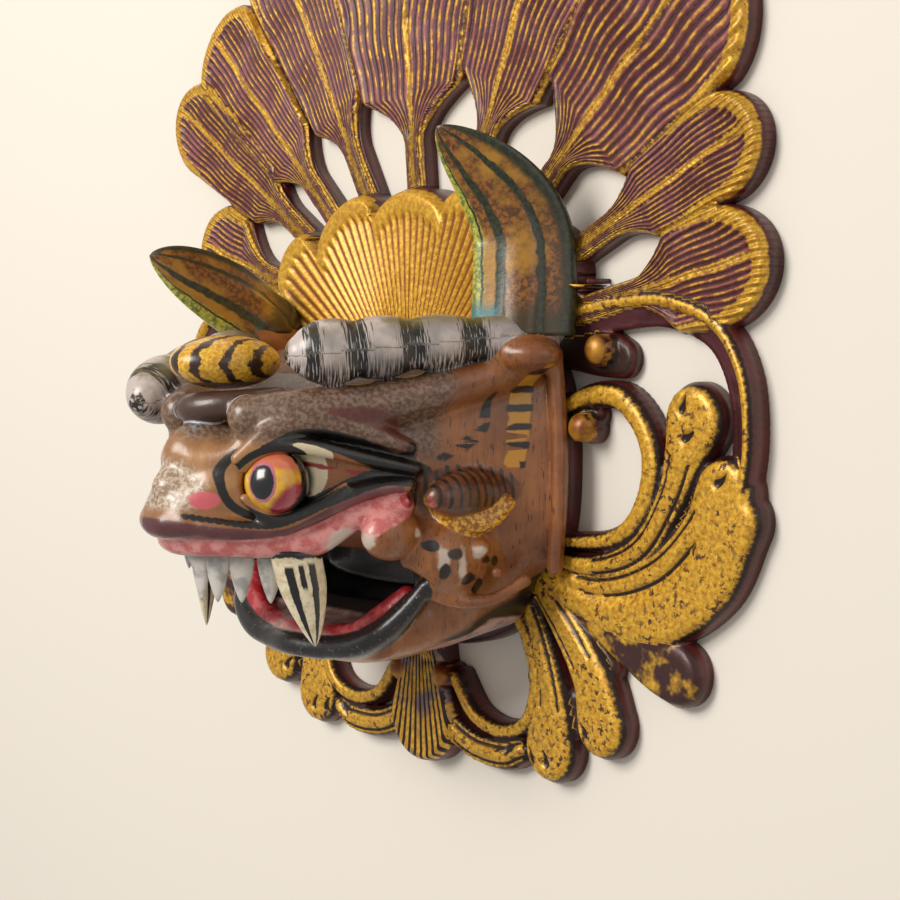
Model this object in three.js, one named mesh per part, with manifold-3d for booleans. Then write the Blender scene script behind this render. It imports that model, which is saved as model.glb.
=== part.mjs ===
// A Balinese barong mask, carved, painted and gilded wood, lying on its back with the face up.
// Millimetres. X is the viewer's right, Y the top of the mask and Z the way it faces.
import * as THREE from 'three';
import { mergeVertices } from 'three/addons/utils/BufferGeometryUtils.js';
import Module from 'manifold-3d';

const wasm = await Module();
wasm.setup();

// ---- driving dimensions -------------------------------------------------------------------------
const GAP = 0.3;                    // air left between two pieces that touch
const PANEL = 12;                   // thickness of the openwork panel at its ridges
const GROOVE = 6.5;                 // thickness left under a carved groove

const FAN_CENTRE = [0, 45];         // where the ribs of the feathers would meet
const FAN_OVERLAP = 1.03;           // neighbours share this much of their width
// each feather: angle from +X, half its spread (degrees), reach, and where its round tip begins
const FEATHERS = [
  [12.5, 7.6, 229, 196],
  [25.8, 6.1, 241, 214],
  [43.8, 12.2, 270, 228],
  [67.5, 11.6, 284, 236],
  [95.0, 16.0, 276, 222],
  [119.5, 8.6, 280, 240],
  [136.4, 7.6, 262, 240],
  [147.6, 6.4, 267, 236],
  [162.4, 8.2, 212, 186],
];
const WEB = [132, 42];              // reach of the pierced holes: at the middle, and what the sides add
const STEM = [58, 7];               // where the stems start, and their half width

const CREST_CENTRE = [0, 20];       // the small gilded fan behind the brows
const CREST_FRONT = 22;             // its front above the floor
const CREST_LOBES = [[90, 16, 110], [60, 14, 119], [37, 9, 134], [22, 6, 146]];
const CREST_DIP = 13;               // how deep the notches between its scallops are
const CREST_FLUTES = 22;            // grooves from side to side
const FLUTE_DEPTH = 2.2;

const HEAD_BACK = PANEL + GAP;      // the head's flat back, on the panel
const HEAD_HALF = 106;              // half width of the head where it meets the panel
const SIDE_SLOPE = 0.553;           // how fast its sides close in towards the snout
const BROW_RADIUS = 14.5;
const EYE_RADIUS = 14.5;
const FANG_LENGTH = 42;
// each fang: across, forward and how far its point leans back
const FANGS = [[43, 109, 9], [-36, 104, 0]];
const SMALL_TEETH = [[3, 130, 0.1], [12, 127, 0.5], [21, 121, 0.7], [31, 113, 0.8]];

// ---- solids from rings of points ----------------------------------------------------------------
function solidFromGeometry(geometry) {
  const bare = geometry.clone();
  bare.deleteAttribute('normal');
  bare.deleteAttribute('uv');
  const merged = mergeVertices(bare, 1e-4);
  const vertProperties = new Float32Array(merged.getAttribute('position').array);
  const triVerts = new Uint32Array(merged.getIndex().array);
  return new wasm.Manifold(new wasm.Mesh({ numProp: 3, vertProperties, triVerts }));
}

function geometryFromSolid(solid) {
  const mesh = solid.getMesh();
  const geometry = new THREE.BufferGeometry();
  geometry.setAttribute('position', new THREE.BufferAttribute(new Float32Array(mesh.vertProperties), 3));
  geometry.setIndex(new THREE.BufferAttribute(new Uint32Array(mesh.triVerts), 1));
  geometry.computeVertexNormals();
  return geometry;
}

function join(solids) {
  return solids.reduce((whole, next) => whole.add(next));
}

// Rings of equal length, joined one to the next and capped from their middles.
function loft(rings) {
  const size = rings[0].length;
  const positions = rings.flat().flatMap((p) => [p.x, p.y, p.z]);
  const indices = [];
  for (let r = 0; r + 1 < rings.length; r += 1) {
    for (let k = 0; k < size; k += 1) {
      const a = r * size + k;
      const b = r * size + ((k + 1) % size);
      indices.push(a, b, b + size, a, b + size, a + size);
    }
  }
  for (const end of [0, rings.length - 1]) {
    const middle = rings[end].reduce((sum, p) => sum.add(p), new THREE.Vector3()).divideScalar(size);
    const centre = positions.length / 3;
    positions.push(middle.x, middle.y, middle.z);
    for (let k = 0; k < size; k += 1) {
      const a = end * size + k;
      const b = end * size + ((k + 1) % size);
      indices.push(...(end === 0 ? [centre, b, a] : [centre, a, b]));
    }
  }
  const geometry = new THREE.BufferGeometry();
  geometry.setAttribute('position', new THREE.Float32BufferAttribute(positions, 3));
  geometry.setIndex(indices);
  if (signedVolume(positions, indices) < 0) {
    indices.reverse();
    geometry.setIndex(indices);
  }
  return solidFromGeometry(geometry);
}

function signedVolume(positions, indices) {
  const at = (i) => new THREE.Vector3().fromArray(positions, 3 * i);
  let volume = 0;
  for (let i = 0; i < indices.length; i += 3) {
    volume += at(indices[i]).dot(at(indices[i + 1]).cross(at(indices[i + 2]))) / 6;
  }
  return volume;
}

// The same solid on the other side of the middle plane.
function mirrored(solid) {
  const geometry = geometryFromSolid(solid);
  geometry.scale(-1, 1, 1);
  geometry.getIndex().array.reverse();
  return solidFromGeometry(geometry);
}

function ellipsoid(centre, radii, around = 9, down = 6) {
  const geometry = new THREE.SphereGeometry(1, around, down);
  geometry.scale(...radii);
  geometry.translate(...centre);
  return solidFromGeometry(geometry);
}

// ---- flat carved ribbons ------------------------------------------------------------------------
// Cross sections: [place across from -1 to 1, height as a share of the ridge].
const RIDGED = [[-1, 0.62], [-0.72, 1], [0.72, 1], [1, 0.62]];
const HOLLOWED = [[-1, 0.66], [-0.78, 1], [-0.3, 0.72], [0.3, 0.72], [0.78, 1], [1, 0.66]];
const FEATHERED = [[-1, 0.5], [-0.8, 1], [-0.6, 0.74], [-0.1, 0.78], [0, 1], [0.1, 0.78], [0.6, 0.74],
  [0.8, 1], [1, 0.5]];

// A ribbon lying on the floor along a plane curve; halfWidth(s) and ridge(s) run over s from 0 to 1.
function ribbon(curve, steps, halfWidth, ridge, section, crowd = false) {
  const rings = [];
  for (let i = 0; i <= steps; i += 1) {
    const s = crowd ? Math.sin((Math.PI / 2) * (i / steps)) : i / steps;
    const middle = curve.getPoint(s);
    const tangent = curve.getTangent(s);
    const side = new THREE.Vector2(-tangent.y, tangent.x);
    const half = Math.max(halfWidth(s), 0.6);
    const top = ridge(s);
    const at = (t, z) => new THREE.Vector3(middle.x + side.x * t * half, middle.y + side.y * t * half, z);
    const ring = section.map(([t, share]) => at(t, top * share));
    ring.push(at(1, 0), at(-1, 0));
    rings.push(ring);
  }
  return loft(rings);
}

function curveThrough(points) {
  return new THREE.CatmullRomCurve3(points.map(([x, y]) => new THREE.Vector3(x, y, 0)), false, 'centripetal');
}

// A leaf lobe: as wide as its two given half widths, closing in a round end.
function roundEnd(from, to, roundShare, power = 0.5) {
  return (s) => {
    const width = from + (to - from) * s;
    const into = Math.max(0, (s - (1 - roundShare)) / roundShare);
    return width * Math.max(0, 1 - into * into) ** power;
  };
}

function frond(points, from, to, roundShare, height = PANEL, section = RIDGED, steps = 8) {
  return ribbon(curveThrough(points), steps, roundEnd(from, to, roundShare), () => height, section, true);
}

function band(points, from, to, height = PANEL, section = RIDGED, steps = 10) {
  return ribbon(curveThrough(points), steps, (s) => from + (to - from) * s, () => height, section);
}

// ---- the fan of nine feathers -------------------------------------------------------------------
function feather([degrees, spread, reach, tipStart]) {
  const angle = THREE.MathUtils.degToRad(degrees);
  const slope = Math.tan(THREE.MathUtils.degToRad(spread)) * FAN_OVERLAP;
  const web = WEB[0] + WEB[1] * Math.abs(Math.cos(angle)) ** 1.5;
  const [start, stem] = STEM;
  const direction = new THREE.Vector2(Math.cos(angle), Math.sin(angle));
  const origin = new THREE.Vector2(...FAN_CENTRE);
  const at = (r) => origin.clone().addScaledVector(direction, r);
  const radii = [start, web - 26, web - 9, web, tipStart,
    ...[0.45, 0.78, 0.97].map((k) => tipStart + k * (reach - tipStart))];
  const side = new THREE.Vector2(-direction.y, direction.x);
  const halfAt = (r) => {
    if (r <= web - 26) return stem;
    if (r < web) return stem + (web * slope - stem) * ((r - web + 26) / 26) ** 2;
    if (r <= tipStart) return r * slope;
    return tipStart * slope * Math.sqrt(1 - ((r - tipStart) / (reach - tipStart)) ** 2);
  };
  return loft(radii.map((r) => {
    const half = halfAt(r);
    const rim = r > tipStart ? 1 - 0.25 * ((r - tipStart) / (reach - tipStart)) ** 3 : 1;
    const point = (t, z) => {
      const flat = at(r).addScaledVector(side, t * half);
      return new THREE.Vector3(flat.x, flat.y, z);
    };
    const ring = FEATHERED.map(([t, share]) => point(t, PANEL * share * rim));
    ring.push(point(1, 0), point(-1, 0));
    return ring;
  }));
}

// ---- the small gilded crest: one scalloped, fluted fan ---------------------------------------------
// Its scallops, left to right, as [middle angle, half spread, reach]; the outline dips between them.
function crestReach(degrees) {
  const fold = degrees > 90 ? 180 - degrees : degrees;
  const lobe = CREST_LOBES.find(([middle, spread]) => fold >= middle - spread) ?? CREST_LOBES.at(-1);
  const [middle, spread, reach] = lobe;
  const off = Math.min(1, Math.abs(fold - middle) / spread);
  return reach - CREST_DIP * (1 - Math.sqrt(1 - 0.96 * off * off));
}

// With some room round it, it is the plain recess that other pieces leave for it.
function crest(room = 0) {
  const first = CREST_LOBES.at(-1)[0] - CREST_LOBES.at(-1)[1] - room;
  const flutes = 2 * CREST_FLUTES;
  const rings = [];
  for (let i = 0; i <= flutes; i += 1) {
    const degrees = first + ((180 - 2 * first) * i) / flutes;
    const angle = THREE.MathUtils.degToRad(degrees);
    const reach = crestReach(degrees) + room;
    const front = CREST_FRONT + room;
    const cut = room === 0 && i % 2 ? FLUTE_DEPTH : 0;
    const at = (r, z) => new THREE.Vector3(
      CREST_CENTRE[0] + r * Math.cos(angle),
      CREST_CENTRE[1] + r * Math.sin(angle),
      z,
    );
    rings.push([at(30, 0), at(30, front - cut), at(reach - 16, front - cut),
      at(reach - 4, front), at(reach, front - 4 + room), at(reach, 0)]);
  }
  return loft(rings);
}

// ---- the scrolls and leaves beside and below the face, made for +X and mirrored ------------------
function sideScroll() {
  const outerArc = band([[104, 64], [135, 69], [165, 70], [192, 61], [206, 42], [210, 16], [207, -8]],
    8, 7.5, PANEL, HOLLOWED, 10);
  const innerArc = band([[100, 24], [118, 31], [138, 30], [153, 16], [157, -2], [149, -22], [130, -34], [92, -38]],
    5, 7, PANEL, RIDGED, 10);
  const knobLeaf = frond([[84, -44], [120, -45], [150, -36], [168, -14], [176, 10], [182, 40]], 6, 19, 0.3);
  const lobeLeaf = frond([[84, -50], [125, -54], [160, -44], [186, -22], [203, 6]], 6, 18, 0.28);
  const bigLeaf = frond([[84, -54], [125, -66], [165, -64], [195, -45], [208, -8]], 8, 15, 0.2);
  const web = band([[150, -30], [176, -20], [196, -4]], 12, 10, GROOVE, RIDGED, 4);
  const beads = [[125, 52], [114.5, 16]].map(([x, y]) => ellipsoid([x, y, PANEL - 2], [7.5, 7.5, 6], 8, 5));
  const beadGround = band([[92, 58], [118, 52], [134, 48]], 14, 10, GROOVE, RIDGED, 4);
  const lowGround = band([[88, 20], [102, 20], [116, 22]], 12, 9, PANEL - 1, RIDGED, 4);
  return join([outerArc, innerArc, knobLeaf, lobeLeaf, bigLeaf, web, beadGround, lowGround, ...beads]);
}

function lowerLeaves() {
  const bigFrond = frond([[76, -52], [100, -74], [119, -98], [128, -134]], 8, 16, 0.28);
  const midFrond = frond([[70, -58], [84, -84], [93, -112], [92, -151]], 6, 18, 0.28);
  const holeRidge = band([[62, -68], [76, -84], [83, -106], [76, -126], [58, -133], [38, -128], [24, -112]],
    4, 5, PANEL, RIDGED, 10);
  const hook = frond([[6, -104], [12, -130], [34, -143], [58, -145], [74, -140]], 8, 8, 0.2);
  const bead = ellipsoid([17, -112, PANEL - 1], [6.5, 6.5, 6], 8, 5);
  const smallLeaf = frond([[112, -62], [140, -76], [160, -88], [178, -93]], 12, 16, 0.45, PANEL - 2);
  const ground = band([[96, -60], [112, -76], [124, -92]], 12, 12, GROOVE, RIDGED, 4);
  const lowWeb = band([[84, -104], [104, -118], [112, -122]], 12, 8, GROOVE, RIDGED, 4);
  return join([bigFrond, midFrond, holeRidge, hook, bead, smallLeaf, ground, lowWeb]);
}

function centrePetal() {
  const flutes = [[-1, 0.7], [-0.66, 1], [-0.33, 0.8], [0, 1], [0.33, 0.8], [0.66, 1], [1, 0.7]];
  return frond([[0, -91], [0, -112], [0, -136], [0, -158]], 12, 24, 0.3, PANEL + 3, flutes);
}

// The field behind the head, which carries fan, scrolls and leaves.
function field() {
  const ring = [];
  for (let k = 0; k < 28; k += 1) {
    const angle = (2 * Math.PI * k) / 28;
    const x = 104 * Math.sign(Math.cos(angle)) * Math.abs(Math.cos(angle)) ** 0.8;
    const rise = Math.sin(angle) > 0 ? 84 : 96;
    ring.push(new THREE.Vector2(x, rise * Math.sign(Math.sin(angle)) * Math.abs(Math.sin(angle)) ** 0.8));
  }
  return loft([0, PANEL].map((z) => ring.map((p) => new THREE.Vector3(p.x, p.y, z))));
}

// The crest ends where the head stands on the panel, and the horns are let into it.
function backPanel() {
  const half = join([sideScroll(), lowerLeaves()]);
  const openwork = join([field(), ...FEATHERS.map(feather), half, mirrored(half), centrePetal()]);
  const cutCrest = crest().subtract(headFoot(GAP));
  return join([openwork, cutCrest]).subtract(horn(1, GAP)).subtract(horn(-1, GAP));
}

// ---- the head -----------------------------------------------------------------------------------
function sideOf(depth) {
  return HEAD_HALF - SIDE_SLOPE * depth;
}

// A rounded-box ring across the head at one depth in front of the panel.
function headRing(depth, half, top, bottom, power = 0.6, count = 20) {
  const middle = (top + bottom) / 2;
  const rise = (top - bottom) / 2;
  const ring = [];
  for (let k = 0; k < count; k += 1) {
    const angle = (2 * Math.PI * k) / count;
    const x = half * Math.sign(Math.cos(angle)) * Math.abs(Math.cos(angle)) ** power;
    const y = middle + rise * Math.sign(Math.sin(angle)) * Math.abs(Math.sin(angle)) ** power;
    ring.push(new THREE.Vector3(x, y, depth + HEAD_BACK));
  }
  return ring;
}

// The head's outline where it stands on the panel, with some room round it.
function headFoot(room) {
  return loft([-GAP, 30].map((depth) => headRing(depth, HEAD_HALF + room, 60 + room, -64 - room, 0.5)));
}

function skull() {
  return loft([
    headRing(0, sideOf(0), 60, -64, 0.5),
    headRing(14, sideOf(14), 58, -62, 0.5),
    headRing(50, sideOf(50), 52, -52, 0.5),
    headRing(82, sideOf(82), 40, -38, 0.5),
    headRing(104, 46, 24, -38),
    headRing(124, 32, 12, -38),
    headRing(140, 22, 0, -36),
    headRing(152, 14, -12, -34),
    headRing(156, 8, -20, -31),
  ]);
}

function lowerJaw() {
  return loft([
    headRing(0, 80, -48, -88, 0.9, 16),
    headRing(30, 76, -46, -94, 0.8, 16),
    headRing(52, 66, -52, -97, 0.75, 16),
    headRing(68, 50, -70, -97, 0.75, 16),
    headRing(80, 31, -78, -94, 0.8, 16),
    headRing(84, 12, -81, -89, 0.8, 16),
  ]);
}

// Each brow is one long roll of swellings, thick and blunt in front, thinning to the head's back edge.
const BROW_SWELLINGS = 5;
function browRoll(side) {
  const front = side > 0 ? [45, 50, 108] : [-53, 27, 128];
  const start = new THREE.Vector3(...front).add(new THREE.Vector3(0, 0, HEAD_BACK));
  const end = new THREE.Vector3(side * 104, 60, 8 + HEAD_BACK);
  const along = end.clone().sub(start);
  const outward = new THREE.Vector3(0, 1, 0).cross(along).normalize().multiplyScalar(side);
  const rise = along.clone().normalize().cross(outward).normalize();
  const rings = [];
  const steps = 16;
  for (let i = 0; i <= steps; i += 1) {
    const s = i / steps;
    const swelling = 1 + 0.09 * Math.cos(2 * Math.PI * (s * BROW_SWELLINGS - 0.35));
    const blunt = Math.sqrt(1 - (1 - Math.min(1, s / 0.12)) ** 2);
    const thin = 1 - 0.55 * s * s;
    const radius = Math.max(BROW_RADIUS * swelling * blunt * thin, 0.8);
    const middle = start.clone().addScaledVector(along, s);
    const ring = [];
    for (let k = 0; k < 8; k += 1) {
      const angle = (2 * Math.PI * k) / 8;
      ring.push(middle.clone()
        .addScaledVector(outward, radius * Math.cos(angle))
        .addScaledVector(rise, radius * Math.sin(angle)));
    }
    rings.push(ring);
  }
  return loft(rings);
}

function foreheadOrnament() {
  const depth = HEAD_BACK;
  const bump = loft([
    headRing(88, 14, 56, 36, 0.8, 12),
    headRing(104, 20, 60, 34, 0.8, 12),
    headRing(122, 23, 63, 36, 0.8, 12),
    headRing(136, 20, 62, 41, 0.8, 12),
    headRing(144, 10, 56, 46, 0.8, 12),
  ]);
  const curl = ellipsoid([0, 28, 112 + depth], [24, 12, 18]);
  return join([bump, curl]);
}

function nose() {
  const depth = HEAD_BACK;
  const tip = ellipsoid([0, -11, 144 + depth], [10, 10, 12.5]);
  const bridge = ellipsoid([0, 6, 126 + depth], [8, 14, 17]);
  const nostril = ellipsoid([9, -15, 138 + depth], [7, 7, 10], 8, 5);
  const wart = ellipsoid([3, 6, 131 + depth], [7, 8, 9], 8, 5);
  return join([tip, bridge, nostril, mirrored(nostril), wart]);
}

// The left eye is carved a little smaller and deeper than the right one.
function eye(side) {
  const radius = side > 0 ? EYE_RADIUS : EYE_RADIUS - 2;
  const [x, depth] = side > 0 ? [42, 117] : [31, 110];
  const ball = ellipsoid([side * x, -7, depth + HEAD_BACK], [radius, radius, radius], 12, 8);
  const lid = ellipsoid([side * (x + 4), 6, depth - 13 + HEAD_BACK], [14, 9, 26]);
  return join([ball, lid]);
}

// The upper lip is a roll along the snout's side from the tip to the corner of the mouth.
function upperLip() {
  const points = [[0, -27, 154], [20, -27, 147], [34, -29, 132], [48, -26, 112], [62, -14, 88], [73, -9, 66]];
  const curve = new THREE.CatmullRomCurve3(points.map(([x, y, z]) => new THREE.Vector3(x, y, z + HEAD_BACK)));
  return tube(curve, 10, (s) => 5 - 1.5 * s, 6);
}

function tube(curve, steps, radiusAt, count) {
  const frames = curve.computeFrenetFrames(steps, false);
  const rings = [];
  for (let i = 0; i <= steps; i += 1) {
    const s = i / steps;
    const middle = curve.getPointAt(s);
    const ring = [];
    for (let k = 0; k < count; k += 1) {
      const angle = (2 * Math.PI * k) / count;
      ring.push(middle.clone()
        .addScaledVector(frames.normals[i], radiusAt(s) * Math.cos(angle))
        .addScaledVector(frames.binormals[i], radiusAt(s) * Math.sin(angle)));
    }
    rings.push(ring);
  }
  return loft(rings);
}

// A tooth hangs down (towards -Y) from the gum, and its faces narrow to a point.
function tooth(x, depth, top, length, half, turn, lean = 0) {
  const rings = [0, 0.45, 0.8, 1].map((share) => {
    const width = half * [1, 0.95, 0.6, 0.12][Math.round(share * 3.1)];
    const ring = [];
    for (let k = 0; k < 6; k += 1) {
      const angle = (2 * Math.PI * k) / 6;
      const across = width * Math.cos(angle) + lean * share;
      const thick = 0.6 * width * Math.sin(angle);
      ring.push(new THREE.Vector3(
        x + across * Math.cos(turn) + thick * Math.sin(turn),
        top - length * share,
        depth + HEAD_BACK - across * Math.sin(turn) + thick * Math.cos(turn),
      ));
    }
    return ring;
  });
  return loft(rings);
}

// The gum is a second roll, set in under the lip, that the teeth grow from.
const GUM_LINE = -36;
function gum() {
  const points = [[-14, GUM_LINE, 128], [0, GUM_LINE, 131], [14, GUM_LINE, 127], [28, GUM_LINE, 116],
    [45, GUM_LINE, 101], [57, -28, 84], [68, -18, 66]];
  const curve = new THREE.CatmullRomCurve3(points.map(([x, y, z]) => new THREE.Vector3(x, y, z + HEAD_BACK)));
  return tube(curve, 10, (s) => 7.5 - 2 * s, 6);
}

function teeth() {
  const small = join(SMALL_TEETH.map(([x, depth, turn]) => tooth(x, depth, GUM_LINE, 26, 6.2, turn)));
  const fangs = FANGS.map(([x, depth, lean]) => (
    tooth(x, depth, GUM_LINE, FANG_LENGTH + 4, 11.5, Math.sign(x) * 1.05, lean)
  ));
  const roll = gum();
  return join([roll, mirrored(roll), small, mirrored(small), ...fangs]);
}

function cheek() {
  const ball = ellipsoid([66, -33, 76 + HEAD_BACK], [12, 13, 14]);
  const disc = ellipsoid([80, -42, 40 + HEAD_BACK], [16, 22, 28]);
  const ear = ellipsoid([88, -15, 38 + HEAD_BACK], [10, 11, 26]);
  return join([ball, disc, ear]);
}

// The brow's underside stands out over the temple as a ledge.
function browLedge() {
  const points = [[30, 24, 120], [50, 28, 100], [72, 32, 64], [98, 44, 16]];
  const curve = new THREE.CatmullRomCurve3(points.map(([x, y, z]) => new THREE.Vector3(x, y, z + HEAD_BACK)));
  return tube(curve, 6, (s) => 12 - 5 * s, 7);
}

// The horns stand on flat seats of their own outline, sunk in the head behind the brows.
const HORN_SEAT = 58;               // height (Y) of the seats
const HORN_HALF = 24;
function hornFoot(side, y) {
  return new THREE.Vector3(side > 0 ? 95 : -90, y, HEAD_BACK + (side > 0 ? 17 : 28));
}

const HORN_SECTION = [[-1, 0], [-0.6, 0.75], [-0.15, 0.7], [0, 1], [0.15, 0.7], [0.65, 0.7], [1, 0],
  [0.5, -0.8], [-0.5, -0.8]];
const HORN_DEEP = 12;
// The bends of each horn after its foot; the left one leans forward more.
const HORN_BENDS = {
  right: [[95, 88, 16], [94, 108, 18], [89, 128, 30], [78, 152, 54]],
  left: [[-95, 76, 50], [-98, 97, 96]],
};
function hornRing(centre, tangent, side, half, deep) {
  const across = side > 0 ? new THREE.Vector3(0.75, 0, -0.66) : new THREE.Vector3(-0.15, 0, -1);
  const wide = across.addScaledVector(tangent, -across.dot(tangent)).normalize();
  const thick = tangent.clone().cross(wide).normalize().multiplyScalar(side);
  return HORN_SECTION.map(([a, b]) => centre.clone()
    .addScaledVector(wide, a * half)
    .addScaledVector(thick, b * deep));
}

function hornSeat(side) {
  const up = new THREE.Vector3(0, 1, 0);
  return loft([HORN_SEAT - 26, HORN_SEAT].map((y) => (
    hornRing(hornFoot(side, y), up, side, HORN_HALF, HORN_DEEP)
  )));
}

function mouthCut() {
  return loft([
    headRing(26, 44, -46, -64, 0.7, 14),
    headRing(50, 56, -43, -66, 0.7, 14),
    headRing(56, 76, -41, -67, 0.7, 14),
    headRing(80, 76, -40, -72, 0.7, 14),
    headRing(110, 76, -38, -80, 0.7, 14),
  ]);
}

function head() {
  const half = join([upperLip(), cheek(), browLedge()]);
  const block = join([skull(), lowerJaw(), half, mirrored(half), eye(1), eye(-1)]).subtract(mouthCut());
  const front = join([teeth(), browRoll(1), browRoll(-1), foreheadOrnament(), nose()]);
  const whole = join([block, front, hornSeat(1), hornSeat(-1)]);
  return whole.subtract(crest(GAP).subtract(headFoot(0))).subtract(horn(1, GAP)).subtract(horn(-1, GAP));
}

// ---- the horns: curved, keeled leaf blades, each on its seat ---------------------------------------
function horn(side, room = 0) {
  const foot = HORN_SEAT + GAP - room;
  const base = hornFoot(side, foot);
  const bends = side > 0 ? HORN_BENDS.right : HORN_BENDS.left;
  const lift = new THREE.Vector3(0, 0, HEAD_BACK);
  const curve = new THREE.CatmullRomCurve3([
    base,
    ...bends.map((bend) => new THREE.Vector3(...bend).add(lift)),
  ]);
  const rings = [];
  const steps = 10;
  for (let i = 0; i <= steps; i += 1) {
    const s = i / steps;
    const tangent = i === 0 ? new THREE.Vector3(0, 1, 0) : curve.getTangent(s);
    const half = HORN_HALF * (1 - s ** 3) ** 0.7 + 0.6 + room;
    const deep = HORN_DEEP * (1 - s) ** 0.7 + 0.5 + room;
    const ring = hornRing(curve.getPoint(s), tangent, side, half, deep);
    rings.push(ring.map((p) => p.setY(Math.max(p.y, foot))));
  }
  return loft(rings);
}

// ---- the scene ------------------------------------------------------------------------------------
const mask = new THREE.Group();

function addPiece(name, solid, color, roughness, metalness) {
  const material = new THREE.MeshStandardMaterial({ color, roughness, metalness });
  const mesh = new THREE.Mesh(geometryFromSolid(solid), material);
  mesh.name = name;
  mask.add(mesh);
}

addPiece('back_panel', backPanel(), 0xb8892a, 0.45, 0.4);
addPiece('head', head(), 0x6e4424, 0.5, 0.0);
addPiece('horn_right', horn(1), 0x3c4a1c, 0.45, 0.0);
addPiece('horn_left', horn(-1), 0x3c4a1c, 0.45, 0.0);

// The origin is the middle of the mask's box, on the floor.
const box = new THREE.Box3().setFromObject(mask);
const middle = box.getCenter(new THREE.Vector3());
mask.position.set(-middle.x, -middle.y, -box.min.z);

export default mask;
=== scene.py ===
# A carved, painted and gilded Balinese barong mask, lying on its flat back, in the CAD model's frame.
# Lengths in the making are millimetres in the mask's own frame: x across, y up the mask, z the way it faces.
import math

import bpy
import numpy as np
from mathutils import Matrix, Vector


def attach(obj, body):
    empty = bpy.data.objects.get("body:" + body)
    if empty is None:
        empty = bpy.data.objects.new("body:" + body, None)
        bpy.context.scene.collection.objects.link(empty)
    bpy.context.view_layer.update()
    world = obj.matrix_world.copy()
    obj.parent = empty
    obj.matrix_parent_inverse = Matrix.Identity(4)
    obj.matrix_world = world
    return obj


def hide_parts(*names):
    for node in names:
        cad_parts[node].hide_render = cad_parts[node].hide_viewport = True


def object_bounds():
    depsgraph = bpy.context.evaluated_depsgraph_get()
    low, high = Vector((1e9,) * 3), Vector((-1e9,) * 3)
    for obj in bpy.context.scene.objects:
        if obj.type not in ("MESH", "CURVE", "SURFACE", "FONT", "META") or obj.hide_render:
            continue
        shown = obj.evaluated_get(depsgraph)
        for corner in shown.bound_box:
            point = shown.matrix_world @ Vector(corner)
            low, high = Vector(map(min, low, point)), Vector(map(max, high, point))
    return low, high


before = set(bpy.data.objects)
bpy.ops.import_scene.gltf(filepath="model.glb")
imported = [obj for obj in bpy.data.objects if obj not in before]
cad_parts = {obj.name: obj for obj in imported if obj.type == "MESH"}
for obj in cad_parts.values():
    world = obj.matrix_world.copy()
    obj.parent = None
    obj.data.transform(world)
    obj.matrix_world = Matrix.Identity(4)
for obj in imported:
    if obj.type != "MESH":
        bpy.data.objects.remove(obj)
CAD_BOX = [[float(c) for c in corner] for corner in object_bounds()]

MM = 0.001
SHIFT = np.array([2.3986, -80.8626, 0.0])   # the mask's frame to the middle of its box
PANEL = 12.0                                # the openwork panel's front plane

# ---- camera
TURN = math.radians(50)
RISE = math.radians(4)
DISTANCE = 1.0
AIM = 14.5                                  # the middle of the view, right of the mask's origin

to_camera = Vector((math.sin(TURN) * math.cos(RISE), math.sin(RISE), math.cos(TURN) * math.cos(RISE)))
view_right = Vector((math.cos(TURN), 0.0, -math.sin(TURN)))
view_up = to_camera.cross(view_right)
origin = Vector((SHIFT + [0, 0, PANEL]) * MM)
target = origin + view_right * AIM * MM

camera = bpy.data.objects.new("camera", bpy.data.cameras.new("camera"))
camera.data.lens = 80.0
camera.data.sensor_width = 36.0
camera.matrix_world = Matrix.Translation(target + to_camera * DISTANCE) @ Matrix(
    (view_right, view_up, to_camera)
).transposed().to_4x4()
bpy.context.scene.collection.objects.link(camera)
bpy.context.scene.camera = camera

# ---- fields
def clip01(x):
    return np.clip(x, 0.0, 1.0)


def smooth(x):
    x = clip01(x)
    return x * x * (3 - 2 * x)


def rounded(x):
    """0 at the rim, rising along a quarter circle to 1."""
    return np.sqrt(1 - (1 - clip01(x)) ** 2)


def along(points, count):
    """Points at equal steps along a smooth curve through the given ones, which may carry more numbers."""
    p = np.array(points, float)
    p = np.vstack([2 * p[0] - p[1], p, 2 * p[-1] - p[-2]])
    out = []
    for i in range(1, len(p) - 2):
        t = np.linspace(0, 1, 24, endpoint=False)[:, None]
        a, b, c, d = p[i - 1], p[i], p[i + 1], p[i + 2]
        square, cube = 2 * a - 5 * b + 4 * c - d, 3 * b - a - 3 * c + d
        out.append(0.5 * (2 * b + (c - a) * t + square * t**2 + cube * t**3))
    out.append(p[-2][None])
    q = np.vstack(out)
    plane = 2 if q.shape[1] < 4 else 3
    step = np.linalg.norm(np.diff(q[:, :plane], axis=0), axis=1)
    run = np.concatenate([[0], np.cumsum(step)])
    want = np.linspace(0, run[-1], count)
    return np.stack([np.interp(want, run, q[:, k]) for k in range(q.shape[1])], axis=1), run[-1]


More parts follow.
